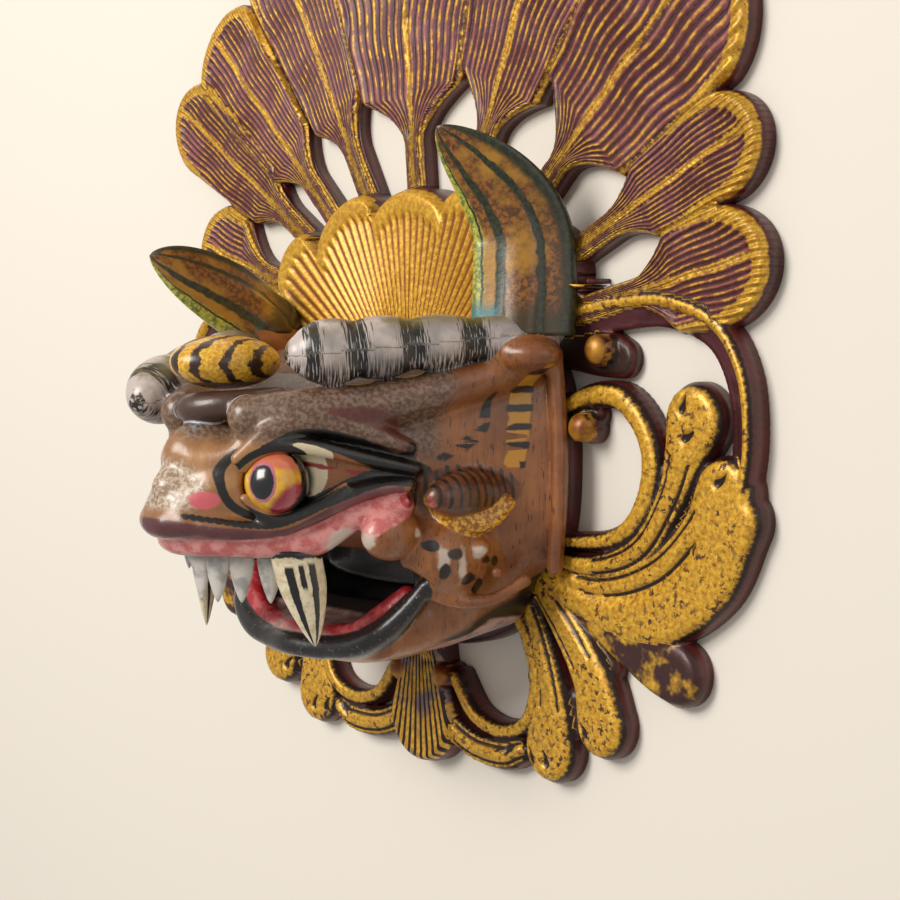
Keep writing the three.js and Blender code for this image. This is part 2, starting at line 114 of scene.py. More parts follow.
class Ribbon:
    """A disc swept along a plane curve of (x, y, half width): depth inside, place along and across."""

    def __init__(self, points, count=48):
        self.c, self.length = along(points, count)
        d = np.gradient(self.c[:, :2], axis=0)
        self.tangent = d / np.linalg.norm(d, axis=1, keepdims=True)

    def __call__(self, x, y, margin=4.0):
        depth = np.full(x.shape, -99.0)
        place = np.zeros(x.shape)
        across = np.zeros(x.shape)
        half = np.ones(x.shape)
        r = self.c[:, 2].max() + margin
        near = (
            (x > self.c[:, 0].min() - r) & (x < self.c[:, 0].max() + r)
            & (y > self.c[:, 1].min() - r) & (y < self.c[:, 1].max() + r)
        )
        px, py = x[near], y[near]
        best = np.full(px.shape, -99.0)
        which = np.zeros(px.shape, int)
        for j, (cx, cy, w) in enumerate(self.c):
            dd = w - np.hypot(px - cx, py - cy)
            better = dd > best
            best[better] = dd[better]
            which[better] = j
        tx, ty = self.tangent[which, 0], self.tangent[which, 1]
        qx, qy = px - self.c[which, 0], py - self.c[which, 1]
        depth[near] = best
        place[near] = which / (len(self.c) - 1) * self.length
        across[near] = tx * qy - ty * qx
        half[near] = self.c[which, 2]
        return depth, place, across, half


# ---- the openwork panel: feathers, crest, scrolls and leaves
FAN_CENTRE = np.array([0.0, 45.0])
# each feather: angle from +x, half its spread (degrees), reach, where its round tip begins
FEATHERS = [
    (12.5, 7.6, 229, 196),
    (25.8, 6.1, 241, 214),
    (43.8, 12.2, 270, 228),
    (67.5, 11.6, 284, 236),
    (95.0, 16.0, 276, 222),
    (119.5, 8.6, 280, 240),
    (136.4, 7.6, 262, 240),
    (147.6, 6.4, 267, 236),
    (162.4, 8.2, 212, 186),
]
FAN_OVERLAP = 1.03
WEB = (132, 42)
STEM = (58, 7)
CREST_CENTRE = np.array([0.0, 20.0])
CREST_FRONT = 22.0
CREST_LOBES = [(90, 16, 110), (60, 14, 119), (37, 9, 134), (22, 6, 146)]
CREST_DIP = 13.0
GROOVE = 6.5
KIND = {"fan": 1, "crest": 2, "leaf": 3, "plain": 4, "arc": 5, "dark leaf": 6, "petal": 7, "bead": 8}


class Panel:
    """What is known at points of the panel: its front's height, how far in from the outline, and paint."""

    def __init__(self, x, y):
        self.x, self.y = x, y
        self.depth = np.full(x.shape, -99.0)      # into the panel from its outline
        self.height = np.full(x.shape, -99.0)
        self.own = np.full(x.shape, 9.0)          # into the owner element
        self.kind = np.zeros(x.shape, int)
        self.rib = np.zeros(x.shape)
        self.gilt = np.full(x.shape, -9.0)        # the gilded rim of the feathers
        self.mark = np.full(x.shape, -9.0)        # small carved commas and grooves, painted dark
        self.field()
        for number, numbers in enumerate(FEATHERS):
            self.feather(number, *numbers)
        self.crest()
        self.scrolls()
        self.lower_leaves()
        self.petal()

    def put(self, depth, height, kind, rib=0.0, gilt=-9.0, mark=-9.0):
        self.depth = np.maximum(self.depth, depth)
        wins = (depth > -0.8) & (height > self.height)
        self.height[wins] = height[wins]
        self.own[wins] = depth[wins]
        self.kind[wins] = KIND[kind]
        for name, value in (("rib", rib), ("gilt", gilt), ("mark", mark)):
            array = getattr(self, name)
            array[wins] = value[wins] if isinstance(value, np.ndarray) else value

    def field(self):
        x = np.abs(self.x) / 104
        y = np.where(self.y > 0, self.y / 84, -self.y / 96)
        power = 2.5
        q = (x**power + y**power) ** (1 / power)
        depth = (1 - q) * 92
        self.put(depth, GROOVE + 4.5 * rounded(depth / 4), "plain")

    def feather(self, number, degrees, spread, reach, tip):
        angle = math.radians(degrees)
        slope = math.tan(math.radians(spread)) * FAN_OVERLAP
        web = WEB[0] + WEB[1] * abs(math.cos(angle)) ** 1.5
        start, stem = STEM
        qx, qy = self.x - FAN_CENTRE[0], self.y - FAN_CENTRE[1]
        r = qx * math.cos(angle) + qy * math.sin(angle)
        t = -qx * math.sin(angle) + qy * math.cos(angle)
        into = clip01((r - (web - 26)) / 26)
        half = np.where(r < web, stem + (web * slope - stem) * into**2, r * slope)
        half_tip = tip * slope
        long_tip = reach - tip
        beyond = np.maximum(r - tip, 0)
        side = (half - np.abs(t)) * math.cos(math.atan(slope))
        q = np.sqrt((beyond / long_tip) ** 2 + (t / half_tip) ** 2) + 1e-6
        grad = np.sqrt((beyond / long_tip**2) ** 2 + (t / half_tip**2) ** 2) / q + 1e-6
        depth = np.where(r > tip, (1 - q) / grad, side)
        depth = np.minimum(depth, (r - start) * 1.0)
        depth = np.clip(depth, -30, 60)
        # fine ribs fan lengthwise from the stem, a little uneven
        waver = 0.30 * np.sin(r / 19 + number)
        rib = 8.5 * t / np.maximum(half, 1) + waver + 0.16 * np.sin(r / 6.1 + 2.3 * number)
        shaft = np.clip(1.7 - np.abs(t), -9, 2)
        rim = smooth((r - (tip - 40)) / 60)
        gilt = (2.2 + 5.8 * rim) - depth
        dish = 1.6 * smooth((depth - 3 - 4 * rim) / 5)
        barbs = 0.55 * np.sin(2 * math.pi * rib) * smooth((depth - 2.5) / 3) * smooth((r - web) / 40)
        height = GROOVE + (PANEL - 0.6 - GROOVE) * rounded(depth / 4.5) - dish + barbs
        height = np.maximum(height, np.where(depth > 0, PANEL - 0.8 - 2.2 * np.abs(t), -99))
        self.put(depth, height, "fan", rib, np.maximum(gilt, np.minimum(shaft, depth)), -9.0)

    def crest(self):
        qx, qy = self.x - CREST_CENTRE[0], self.y - CREST_CENTRE[1]
        r = np.hypot(qx, qy)
        degrees = np.degrees(np.arctan2(qy, qx))
        fold = np.where(degrees > 90, 180 - degrees, degrees)
        reach = np.zeros(self.x.shape)
        for middle, spread, lobe_reach in CREST_LOBES[::-1]:
            off = np.clip(np.abs(fold - middle) / spread, 0, 1)
            value = lobe_reach - CREST_DIP * (1 - np.sqrt(1 - 0.96 * off * off))
            reach = np.where(fold >= middle - spread, value, reach)
        first = CREST_LOBES[-1][0] - CREST_LOBES[-1][1]
        last = np.where(degrees < 90, first + 11.0, first)
        depth = np.minimum(reach - r, np.radians(np.minimum(fold - last, 60)) * r)
        depth = np.where((qy > 0) & (r > 40), depth, -99)
        flute = degrees / (180 - 2 * first) * 46
        fluted = smooth((depth - 7 - 3.5 * np.abs(np.sin(math.pi * flute * 0.5))) / 6)
        cut = 1.9 * fluted * (0.5 - 0.5 * np.cos(2 * math.pi * flute)) ** 0.7
        height = PANEL + 2 + (CREST_FRONT - PANEL - 2) * rounded(depth / 5.0) - cut
        self.put(depth, height, "crest", flute, fluted, -9.0)

    def leaf(self, points, kind="leaf", top=PANEL, shoulder=7.0, low=None, marks=()):
        low = GROOVE - 1.0 if low is None else low
        depth, place, across, half = Ribbon(points)(np.abs(self.x), self.y)
        height = low + (top - low) * rounded(depth / np.minimum(shoulder, half))
        mark = np.full(self.x.shape, -9.0)
        for mx, my, turn in marks:
            mark = np.maximum(mark, self.comma(mx, my, turn))
        if marks:
            nested = 0.7 - np.abs(np.abs(across) - 0.48 * half)
            mark = np.maximum(mark, np.where((half > 6) & (half < 12.5) & (place > 14), nested, -9.0))
        height = height - 1.6 * smooth(mark + 0.7)
        self.put(depth, height, kind, place / 9, -9.0, mark)

    def comma(self, mx, my, turn):
        """A small carved teardrop: how far inside it."""
        best = np.full(self.x.shape, -9.0)
        for k in range(7):
            s = k / 6
            cx = mx + math.cos(turn) * 6 * (s - 0.5) - math.sin(turn) * 2.5 * s * s
            cy = my + math.sin(turn) * 6 * (s - 0.5) + math.cos(turn) * 2.5 * s * s
            best = np.maximum(best, 1.9 - 1.4 * s - np.hypot(np.abs(self.x) - cx, self.y - cy))
        return best

    def scrolls(self):
        self.ground([(92, 58, 14), (118, 52, 12), (134, 48, 9)])
        self.ground([(88, 20, 12), (102, 20, 11), (116, 22, 7)])
        self.ground([(150, -30, 12), (176, -20, 11), (200, -4, 8)])
        outer = [(104, 64, 8), (135, 69, 8), (165, 70, 8), (192, 61, 8), (206, 42, 8), (210, 16, 7.5),
                 (207, -10, 7)]
        depth, place, across, half = Ribbon(outer)(np.abs(self.x), self.y)
        side = -across / half
        channel = GROOVE + 2.2 - 2.2 * smooth((side + 0.05) / 0.9)
        bow = GROOVE + 5.5 * np.sqrt(clip01(1 - ((side + 0.52) / 0.5) ** 2))
        height = np.where(side < -0.02, bow, channel)
        mark = 0.8 - np.abs(side - 0.02) * half
        self.put(depth, np.maximum(height, channel), "arc", place / 9, side, mark)
        self.leaf([(100, 24, 5), (118, 31, 6), (138, 30, 6.5), (153, 16, 6.5), (157, -2, 6.5), (149, -22, 6),
                   (130, -34, 5), (92, -38, 4)], shoulder=5)
        self.leaf([(84, -44, 4), (120, -47, 6), (150, -37, 8), (168, -14, 9), (176, 6, 12), (182, 22, 17)],
                  marks=[(179, 29, 0.9), (182, 15, 0.2)])
        self.leaf([(84, -50, 4), (125, -56, 7), (160, -46, 9), (184, -26, 10), (200, -9, 17)],
                  marks=[(201, -3, 0.3)])
        self.leaf([(84, -54, 7), (125, -67, 9), (160, -66, 14), (190, -47, 16), (206, -20, 15)])
        for bx, by in ((125, 52), (114.5, 16)):
            self.bead(bx, by, 7.5, PANEL - 2, 6)

    def ground(self, points):
        self.leaf(points, kind="plain", top=GROOVE, shoulder=4, low=4.5)

    def bead(self, bx, by, radius, middle, rise):
        q = np.hypot(np.abs(self.x) - bx, self.y - by) / radius
        depth = (1 - q) * radius
        height = middle + rise * np.sqrt(clip01(1 - q * q))
        self.put(depth, np.where(depth > 0, height, -99), "bead")

    def lower_leaves(self):
        self.ground([(96, -60, 12), (112, -76, 12), (124, -92, 11)])
        self.ground([(84, -104, 12), (104, -118, 10), (112, -122, 8)])
        self.leaf([(112, -62, 11), (140, -76, 14), (160, -86, 15), (172, -90, 15)], kind="dark leaf",
                  top=PANEL - 1.5)
        self.leaf([(62, -68, 4), (76, -84, 5), (83, -106, 5), (76, -126, 5), (58, -133, 5), (38, -128, 5),
                   (24, -112, 5)], shoulder=4)
        self.leaf([(6, -104, 7), (12, -130, 8), (34, -143, 8), (58, -145, 8), (70, -141, 7)],
                  marks=[(64, -141, 3.6)])
        self.leaf([(70, -58, 5), (84, -84, 8), (93, -112, 11), (92, -136, 17)],
                  marks=[(82, -140, 1.6), (92, -140, 1.6)])
        self.leaf([(76, -52, 6), (100, -74, 10), (119, -98, 13), (126, -120, 16)], marks=[(117, -122, 1.9)])
        self.bead(17, -112, 6.5, PANEL - 1, 6)

    def petal(self):
        depth = Ribbon([(0, -91, 14), (0, -112, 17), (0, -132, 23), (0, -134, 24)])(self.x, self.y)[0]
        flutes = np.arctan2(self.x, -(self.y + 60)) / 0.052
        height = GROOVE + (PANEL + 3 - GROOVE) * rounded(depth / 5)
        height -= 1.6 * (0.5 - 0.5 * np.cos(2 * math.pi * flutes)) * smooth((depth - 2) / 4)
        self.put(depth, height, "petal", flutes)


def new_mesh(name, vertices, faces):
    mesh = bpy.data.meshes.new(name)
    mesh.from_pydata(vertices, [], faces)
    mesh.update()
    piece = bpy.data.objects.new(name, mesh)
    bpy.context.scene.collection.objects.link(piece)
    return piece


def fast_mesh(name, vertices, faces):
    """A mesh from arrays of points and of triangles or quads."""
    mesh = bpy.data.meshes.new(name)
    count, sides = faces.shape
    mesh.vertices.add(len(vertices))
    mesh.vertices.foreach_set("co", np.ascontiguousarray(vertices, dtype=np.float32).ravel())
    mesh.loops.add(count * sides)
    mesh.loops.foreach_set("vertex_index", np.ascontiguousarray(faces, dtype=np.int32).ravel())
    mesh.polygons.add(count)
    mesh.polygons.foreach_set("loop_start", np.arange(0, count * sides, sides, dtype=np.int32))
    mesh.update(calc_edges=True)
    mesh.validate()
    piece = bpy.data.objects.new(name, mesh)
    bpy.context.scene.collection.objects.link(piece)
    return piece


def thin_out(piece, limit):
    """Collapses edges where the surface is flattest until at most so many triangles are left."""
    triangles = sum(len(p.vertices) - 2 for p in piece.data.polygons)
    if triangles <= limit:
        return
    modifier = piece.modifiers.new("thin", "DECIMATE")
    modifier.ratio = limit / triangles
    bpy.context.view_layer.objects.active = piece
    bpy.ops.object.select_all(action="DESELECT")
    piece.select_set(True)
    bpy.ops.object.modifier_apply(modifier=modifier.name)


def coordinates(piece):
    co = np.empty(len(piece.data.vertices) * 3, np.float32)
    piece.data.vertices.foreach_get("co", co)
    return co.reshape(-1, 3).astype(float)


def to_row(piece):
    """From millimetres in the mask's frame to metres in the row frame."""
    co = (coordinates(piece) + SHIFT) * MM
    piece.data.vertices.foreach_set("co", co.astype(np.float32).ravel())
    piece.data.polygons.foreach_set("use_smooth", np.ones(len(piece.data.polygons), bool))
    piece.data.update()


def give(piece, name, values):
    attribute = piece.data.attributes.new(name, "FLOAT", "POINT")
    attribute.data.foreach_set("value", np.ascontiguousarray(values, dtype=np.float32))


PITCH = 1.2
MOST_TRIANGLES = 194000
PANEL_REACH = ((-236, 236), (-166, 327))    # the grid's extent across and up
RIM_ROUNDS = 3                              # how often the rim's points move towards the outline
RIM_STEP = 0.3
LOWEST_FRONT = 4.0


def make_panel():
    xs, ys = (np.arange(first, last, PITCH) for first, last in PANEL_REACH)
    gx, gy = np.meshgrid(xs, ys, indexing="ij")
    whole = Panel(gx.ravel(), gy.ravel())
    depth = whole.depth.reshape(gx.shape)
    keep = depth > 0.15 * PITCH
    cell = keep[:-1, :-1] & keep[1:, :-1] & keep[1:, 1:] & keep[:-1, 1:]
    used = np.zeros(keep.shape, bool)
    for a in (0, 1):
        for b in (0, 1):
            used[a : a + cell.shape[0], b : b + cell.shape[1]] |= cell
    number = -np.ones(keep.shape, int)
    number[used] = np.arange(used.sum())
    i, j = np.where(cell)
    quads = np.stack([number[i, j], number[i + 1, j], number[i + 1, j + 1], number[i, j + 1]], axis=1)
    # the rim's points move out onto the outline
    px, py = gx[used].copy(), gy[used].copy()
    edges = np.concatenate([quads[:, [k, (k + 1) % 4]] for k in range(4)])
    key = edges[:, 0] * (used.sum() + 1) + edges[:, 1]
    back = edges[:, 1] * (used.sum() + 1) + edges[:, 0]
    rim_edges = edges[~np.isin(key, back)]
    rim = np.unique(rim_edges)
    for _ in range(RIM_ROUNDS):
        x, y = px[rim], py[rim]
        here = Panel(x, y).depth
        ddx = (Panel(x + RIM_STEP, y).depth - Panel(x - RIM_STEP, y).depth) / (2 * RIM_STEP)
        ddy = (Panel(x, y + RIM_STEP).depth - Panel(x, y - RIM_STEP).depth) / (2 * RIM_STEP)
        size = np.maximum(ddx**2 + ddy**2, 0.25)
        px[rim] = x - np.clip(here, -2, 2) * ddx / size
        py[rim] = y - np.clip(here, -2, 2) * ddy / size
    low, high = (np.array(corner) / MM - SHIFT for corner in CAD_BOX)
    px, py = np.clip(px, low[0], high[0]), np.clip(py, low[1], high[1])
    count = len(px)
    front = Panel(px, py)
    top = np.maximum(front.height, LOWEST_FRONT)
    points = [np.stack([px, py, top], axis=1), np.stack([px, py, np.zeros(count)], axis=1)]
    faces = [quads, quads[:, ::-1] + count]
    a, b = rim_edges[:, 0], rim_edges[:, 1]
    faces.append(np.stack([b, a, a + count, b + count], axis=1))
    piece = fast_mesh("mask_panel", np.vstack(points), np.vstack(faces))
    thin_out(piece, MOST_TRIANGLES)
    co = coordinates(piece)
    found = Panel(co[:, 0], co[:, 1])
    give(piece, "outline", found.depth)
    give(piece, "own", found.own)
    give(piece, "rib", found.rib)
    give(piece, "gilt", found.gilt)
    give(piece, "mark", found.mark)
    for kind, code in KIND.items():
        give(piece, kind.replace(" ", "_"), (found.kind == code).astype(float))
    give(piece, "level", co[:, 2])
    to_row(piece)
    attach(piece, "root")
    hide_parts("back_panel")
    return piece


# ---- the head: distances to its parts on a grid, negative inside
HEAD_BACK = 12.3
EYE_RIGHT = (42.0, -7.0, 117.0, 14.5)      # centre and radius
EYE_LEFT = (-31.0, -7.0, 110.0, 12.5)
SKULL = [(0, 106, 60, -64, 0.5), (14, 98, 58, -62, 0.5), (50, 78, 52, -52, 0.5), (82, 61, 40, -38, 0.5),
         (104, 48, 24, -38, 0.6), (124, 35, 12, -38, 0.6), (140, 24, 0, -36, 0.7), (152, 14, -14, -33, 0.8),
         (156, 7, -22, -30, 0.9)]
JAW = [(0, 80, -48, -88, 0.9), (30, 76, -46, -94, 0.8), (52, 68, -52, -97, 0.75), (64, 60, -66, -97, 0.75),
       (72, 42, -78, -95, 0.8), (78, 18, -83, -90, 0.8)]
MOUTH = [(24, 44, -46, -64, 0.7), (50, 56, -43, -68, 0.7), (58, 80, -41, -76, 0.7), (80, 80, -40, -80, 0.7),
         (112, 80, -38, -82, 0.7)]
BROW_EDGES = [-0.06, 0.05, 0.22, 0.44, 0.68, 0.92, 1.12]


def ringed(stations):
    """Distance (roughly) to a form whose sections across z are rounded boxes."""
    table = np.array(stations, float)

    def distance(x, y, w):
        half, top, bottom, power = (np.interp(w, table[:, 0], table[:, k]) for k in range(1, 5))
        middle, rise = (top + bottom) / 2, (top - bottom) / 2
        n = 2 / power
        q = ((np.abs(x) / half) ** n + (np.abs(y - middle) / rise) ** n) ** (1 / n)
        d = (q - 1) * np.minimum(half, rise)
        return np.maximum(d, np.maximum(table[0, 0] - w, w - table[-1, 0]))

    return distance


def ball(centre, radii):
    def distance(x, y, w):
        a, b, c = ((v - m) / r for v, m, r in zip((x, y, w), centre, radii))
        k0 = np.sqrt(a * a + b * b + c * c)
        k1 = np.sqrt((a / radii[0]) ** 2 + (b / radii[1]) ** 2 + (c / radii[2]) ** 2) + 1e-9
        return k0 * (k0 - 1) / k1

    return distance


class Tube:
    """A round tube through points (x, y, z, radius)."""

    def __init__(self, points, spacing=2.0):
        self.c, self.length = along(points, 24)
        self.c, self.length = along(points, max(8, int(self.length / spacing)))
        d = np.gradient(self.c[:, :3], axis=0)
        self.tangent = d / np.linalg.norm(d, axis=1, keepdims=True)

    def __call__(self, x, y, w):
        best = np.full(x.shape, 99.0)
        for cx, cy, cz, r in self.c:
            best = np.minimum(best, np.sqrt((x - cx) ** 2 + (y - cy) ** 2 + (w - cz) ** 2) - r)
        return best

    def place(self, x, y, w):
        """How far along, from 0 to 1, and the angle round it."""
        best = np.full(x.shape, 1e9)
        which = np.zeros(x.shape, int)
        for j, (cx, cy, cz, r) in enumerate(self.c):
            dd = np.sqrt((x - cx) ** 2 + (y - cy) ** 2 + (w - cz) ** 2) - r
            closer = dd < best
            best[closer] = dd[closer]
            which[closer] = j
        rel = np.stack([x, y, w], axis=-1) - self.c[which, :3]
        t = self.tangent[which]
        slide = (rel * t).sum(-1)
        rel = rel - slide[..., None] * t
        out = np.cross(np.array([0.0, 1.0, 0.0]), t)
        out /= np.linalg.norm(out, axis=-1, keepdims=True)
        rise = np.cross(t, out)
        angle = np.arctan2((rel * rise).sum(-1), (rel * out).sum(-1))
        return (which * self.length / (len(self.c) - 1) + slide) / self.length, angle


def flipped(shape):
    return lambda x, y, w: shape(-x, y, w)


def brow_tube(start, end, radius):
    count = 60
    points = []
    for i in range(count + 1):
        s = i / count
        bump = np.interp(s, BROW_EDGES, range(len(BROW_EDGES)))
        swell = 0.84 + 0.23 * abs(math.sin(math.pi * bump)) ** 0.8
        blunt = math.sqrt(1 - (1 - min(1, s / 0.12)) ** 2)
        r = max(radius * swell * blunt * (1 - 0.55 * s * s), 1.0)
        points.append([start[k] + (end[k] - start[k]) * s for k in range(3)] + [r])
    tube = Tube([[0, 0, 0, 1], [1, 0, 0, 1], [2, 0, 0, 1]])
    tube.c = np.array(points)
    tube.length = float(np.linalg.norm(np.array(end) - np.array(start)))
    d = np.gradient(tube.c[:, :3], axis=0)
    tube.tangent = d / np.linalg.norm(d, axis=1, keepdims=True)
    return tube


BROW_RIGHT = brow_tube((45, 50, 108), (104, 60, 8), 14.0)
BROW_LEFT = brow_tube((-53, 27, 128), (-104, 60, 8), 15.5)
UPPER_LIP = Tube([(-14, -26, 147, 5), (0, -26, 151, 5), (14, -26, 147, 5), (28, -28, 137, 5),
                  (41, -28, 121, 5), (52, -21, 103, 4.5), (63, -12, 84, 4), (73, -9, 66, 3)])
GUM = Tube([(-14, -35, 137, 6), (0, -35, 141, 6), (14, -35, 137, 6), (27, -35, 127, 6.5), (39, -35, 113, 7),
            (48, -34, 101, 7), (56, -26, 89, 6), (63, -20, 78, 5), (70, -18, 67, 4.5)])
LOWER_LIP = Tube([(-20, -89, 75, 5), (0, -89, 79, 5), (20, -89, 76, 5), (40, -86, 73, 5.5),
                  (56, -78, 68, 5.5), (66, -67, 61, 5), (73, -56, 56, 4)])
INNER_LIP = Tube([(-16, -84, 70, 4), (0, -84, 74, 4), (16, -84, 71, 4), (36, -80, 68, 5), (51, -71, 64, 5.5),
                  (61, -61, 58, 4.5)])
LEDGE = Tube([(28, 22, 122, 10), (48, 25, 102, 10), (70, 30, 68, 9), (97, 45, 16, 7)])
LID_FOLD = Tube([(36, 4, 134, 3), (43, 15, 122, 4.5), (52, 20, 105, 5), (63, 16, 86, 5), (74, 8, 66, 3)])
LID = Tube([(36, 0, 131, 2.5), (43, 9, 123, 4), (52, 9, 106, 4), (62, 4, 86, 3.5), (73, -2, 62, 2.5)])
EYE_BAG = Tube([(36, -14, 130, 2.5), (44, -23, 120, 3), (53, -18, 104, 2.5), (60, -9, 92, 2)])
CHEEK_RIM = Tube([(70, -46, 66, 3), (74, -58, 55, 3.5), (82, -63, 42, 3.5), (90, -62, 30, 3),
                  (98, -54, 18, 3)])
EAR_LIP = Tube([(76, -16, 56, 2), (83, -24, 48, 5), (91, -26, 36, 5), (96, -18, 26, 3)])
REAR_STRIP = Tube([(103, 50, 5, 4), (105, 20, 4, 4), (106, -10, 4, 4), (104, -48, 5, 4)])
CURL = Tube([(26, 30, 104, 5), (14, 27, 124, 6.5), (-2, 25, 131, 7), (-16, 24, 128, 5)])


def blend(a, b, k):
    h = np.maximum(k - np.abs(a - b), 0) / k
    return np.minimum(a, b) - h * h * k / 4


def cut(a, b, k):
    h = np.maximum(k - np.abs(a + b), 0) / k
    return np.maximum(a, -b) + h * h * k / 4


def head_distance(x, y, w, window):
    """Distance to the carved head. window(lo, hi) says which points lie in a box."""
    d = np.full(x.shape, 99.0)

    def work(shape, lo, hi, k, how=blend):
        part = window(lo, hi)
        d[part] = how(d[part], shape(x[part], y[part], w[part]), k)

    def both(shape, lo, hi, k, how=blend):
        work(shape, lo, hi, k, how)
        work(flipped(shape), (-hi[0], lo[1], lo[2]), (-lo[0], hi[1], hi[2]), k, how)

    everywhere = ((-140, -120, -20), (140, 100, 190))
    work(ringed(SKULL), *everywhere, 1)
    work(ringed(JAW), (-95, -110, -5), (95, -30, 100), 3)
    both(Tube([(60, -52, 30, 22), (66, -50, 10, 22)]), (30, -90, -5), (110, -20, 60), 6)
    both(LEDGE, (10, 5, 0), (120, 65, 140), 8)
    both(UPPER_LIP, (-25, -45, 55), (90, 0, 170), 4)
    both(ball((74, -42, 42), (16, 20, 26)), (45, -75, 5), (105, -10, 80), 5)
    both(ball((70, -31, 74), (11, 12, 15)), (50, -55, 50), (95, -10, 100), 3)
    both(ball((85, -14, 40), (11, 11, 25)), (65, -35, 5), (105, 10, 75), 3)
    both(EAR_LIP, (65, -40, 10), (110, -5, 70), 2)
    both(CHEEK_RIM, (60, -75, 5), (110, -35, 80), 3)
    both(REAR_STRIP, (90, -60, -5), (118, 60, 20), 2)
    for wx, wy, ww, r in ((79, -36, 60, 4), (86, -50, 46, 3.5), (90, -38, 38, 4), (80, -52, 58, 3.5),
                          (92, -50, 30, 3), (84, -42, 52, 3.5)):
        both(ball((wx, wy, ww), (r, r, r)), (wx - 10, wy - 10, ww - 10), (wx + 10, wy + 10, ww + 10), 2.5)
    # the snout
    work(ball((0, 4, 122), (17, 17, 26)), (-35, -30, 85), (35, 40, 165), 8)
    work(ball((0, -11, 143), (10.5, 10.5, 11.5)), (-25, -35, 120), (25, 10, 170), 5)
    both(ball((10, -15, 137), (7, 7, 10)), (-5, -35, 115), (30, 5, 160), 4)
    work(ball((3, 8, 131), (7, 8, 8)), (-10, -10, 110), (20, 25, 150), 3)
    work(ball((-5, 2, 138), (4, 4, 4)), (-15, -10, 125), (8, 14, 150), 2)
    bridge = Tube([(10, 2, 138, 5), (22, 4, 128, 6), (30, 10, 118, 7), (34, 18, 108, 8)])
    both(bridge, (0, -15, 95), (50, 35, 155), 6)
    # eye sockets and lids
    for eye in (EYE_RIGHT, EYE_LEFT):
        lo = [eye[k] - 30 for k in range(3)]
        hi = [eye[k] + 30 for k in range(3)]
        work(ball(eye[:3], (eye[3] + 1.5,) * 3), lo, hi, 2, cut)
    work(LID_FOLD, (25, -15, 55), (90, 35, 145), 4)
    work(LID, (25, -15, 50), (90, 25, 145), 2)
    work(EYE_BAG, (25, -35, 80), (75, 0, 140), 3)
    # the mouth
    work(ringed(MOUTH), (-90, -90, 15), (90, -30, 120), 3, cut)
    both(GUM, (-25, -50, 55), (90, -5, 155), 2.5)
    both(LOWER_LIP, (-30, -102, 45), (90, -45, 100), 2.5)
    both(INNER_LIP, (-30, -95, 45), (80, -50, 95), 3)
    # brows and the forehead's ornament
    work(BROW_RIGHT, (25, 25, -5), (125, 75, 130), 2)
    work(BROW_LEFT, (-125, 5, -5), (-30, 75, 150), 2)
    work(ball((0, 46, 116), (22, 12.5, 27)), (-35, 20, 75), (35, 75, 155), 3)
    work(CURL, (-35, 10, 90), (45, 45, 145), 3)
    # horn seats
    work(ball((95, 50, 20), (24, 9, 15)), (60, 30, -5), (125, 72, 50), 5)
    work(ball((-90, 52, 30), (14, 11, 25)), (-120, 30, -5), (-60, 72, 65), 5)
    d = np.maximum(d, -w)
    return d


def skin(d, lo, pitch):
    """The surface where the distances change sign, as points and quads."""
    inside = d < 0
    count = np.zeros(tuple(n - 1 for n in d.shape), np.int8)
    corners = [(a, b, c) for a in (0, 1) for b in (0, 1) for c in (0, 1)]
    for a, b, c in corners:
        count += inside[a : a + count.shape[0], b : b + count.shape[1], c : c + count.shape[2]]
    active = (count > 0) & (count < 8)
    number = -np.ones(active.shape, int)
    number[active] = np.arange(active.sum())
    cells = np.argwhere(active)
    total = np.zeros((len(cells), 3))
    crossings = np.zeros(len(cells))
    for a in corners:
        for axis in range(3):
            if a[axis]:
                continue
            b = list(a)
            b[axis] = 1
            da = d[tuple((cells + a).T)]
            db = d[tuple((cells + b).T)]
            hit = (da < 0) != (db < 0)
            t = da[hit] / (da[hit] - db[hit])
            point = np.tile(np.array(a, float), (hit.sum(), 1))
            point[:, axis] += t
            total[hit] += point
            crossings[hit] += 1
    points = np.array(lo) + (cells + total / crossings[:, None]) * pitch
    quads = []
    for axis in range(3):
        p, q = [k for k in range(3) if k != axis]
        first = [slice(1, -1)] * 3
        first[axis] = slice(0, -1)
        second = [slice(1, -1)] * 3
        second[axis] = slice(1, None)
        here, there = inside[tuple(first)], inside[tuple(second)]
        at = np.argwhere(here != there)
        outward = here[tuple(at.T)]
        at = at + 1
        at[:, axis] -= 1

        def cell(dp, dq):
            c = at.copy()
            c[:, p] += dp
            c[:, q] += dq
            return number[tuple(c.T)]

        ring = np.stack([cell(-1, -1), cell(0, -1), cell(0, 0), cell(-1, 0)], axis=1)
        turn = outward if axis != 1 else ~outward
        ring[~turn] = ring[~turn][:, ::-1]
        quads.append(ring)
    return points, np.vstack(quads)


# ---- paint on the head, as distances into each painted patch
def patch(points, w, y, margin=6.0):
    return Ribbon(points, 40)(w, y, margin)[0]


def spot(w, y, cw, cy, rw, ry):
    return (1 - np.hypot((w - cw) / rw, (y - cy) / ry)) * min(rw, ry)


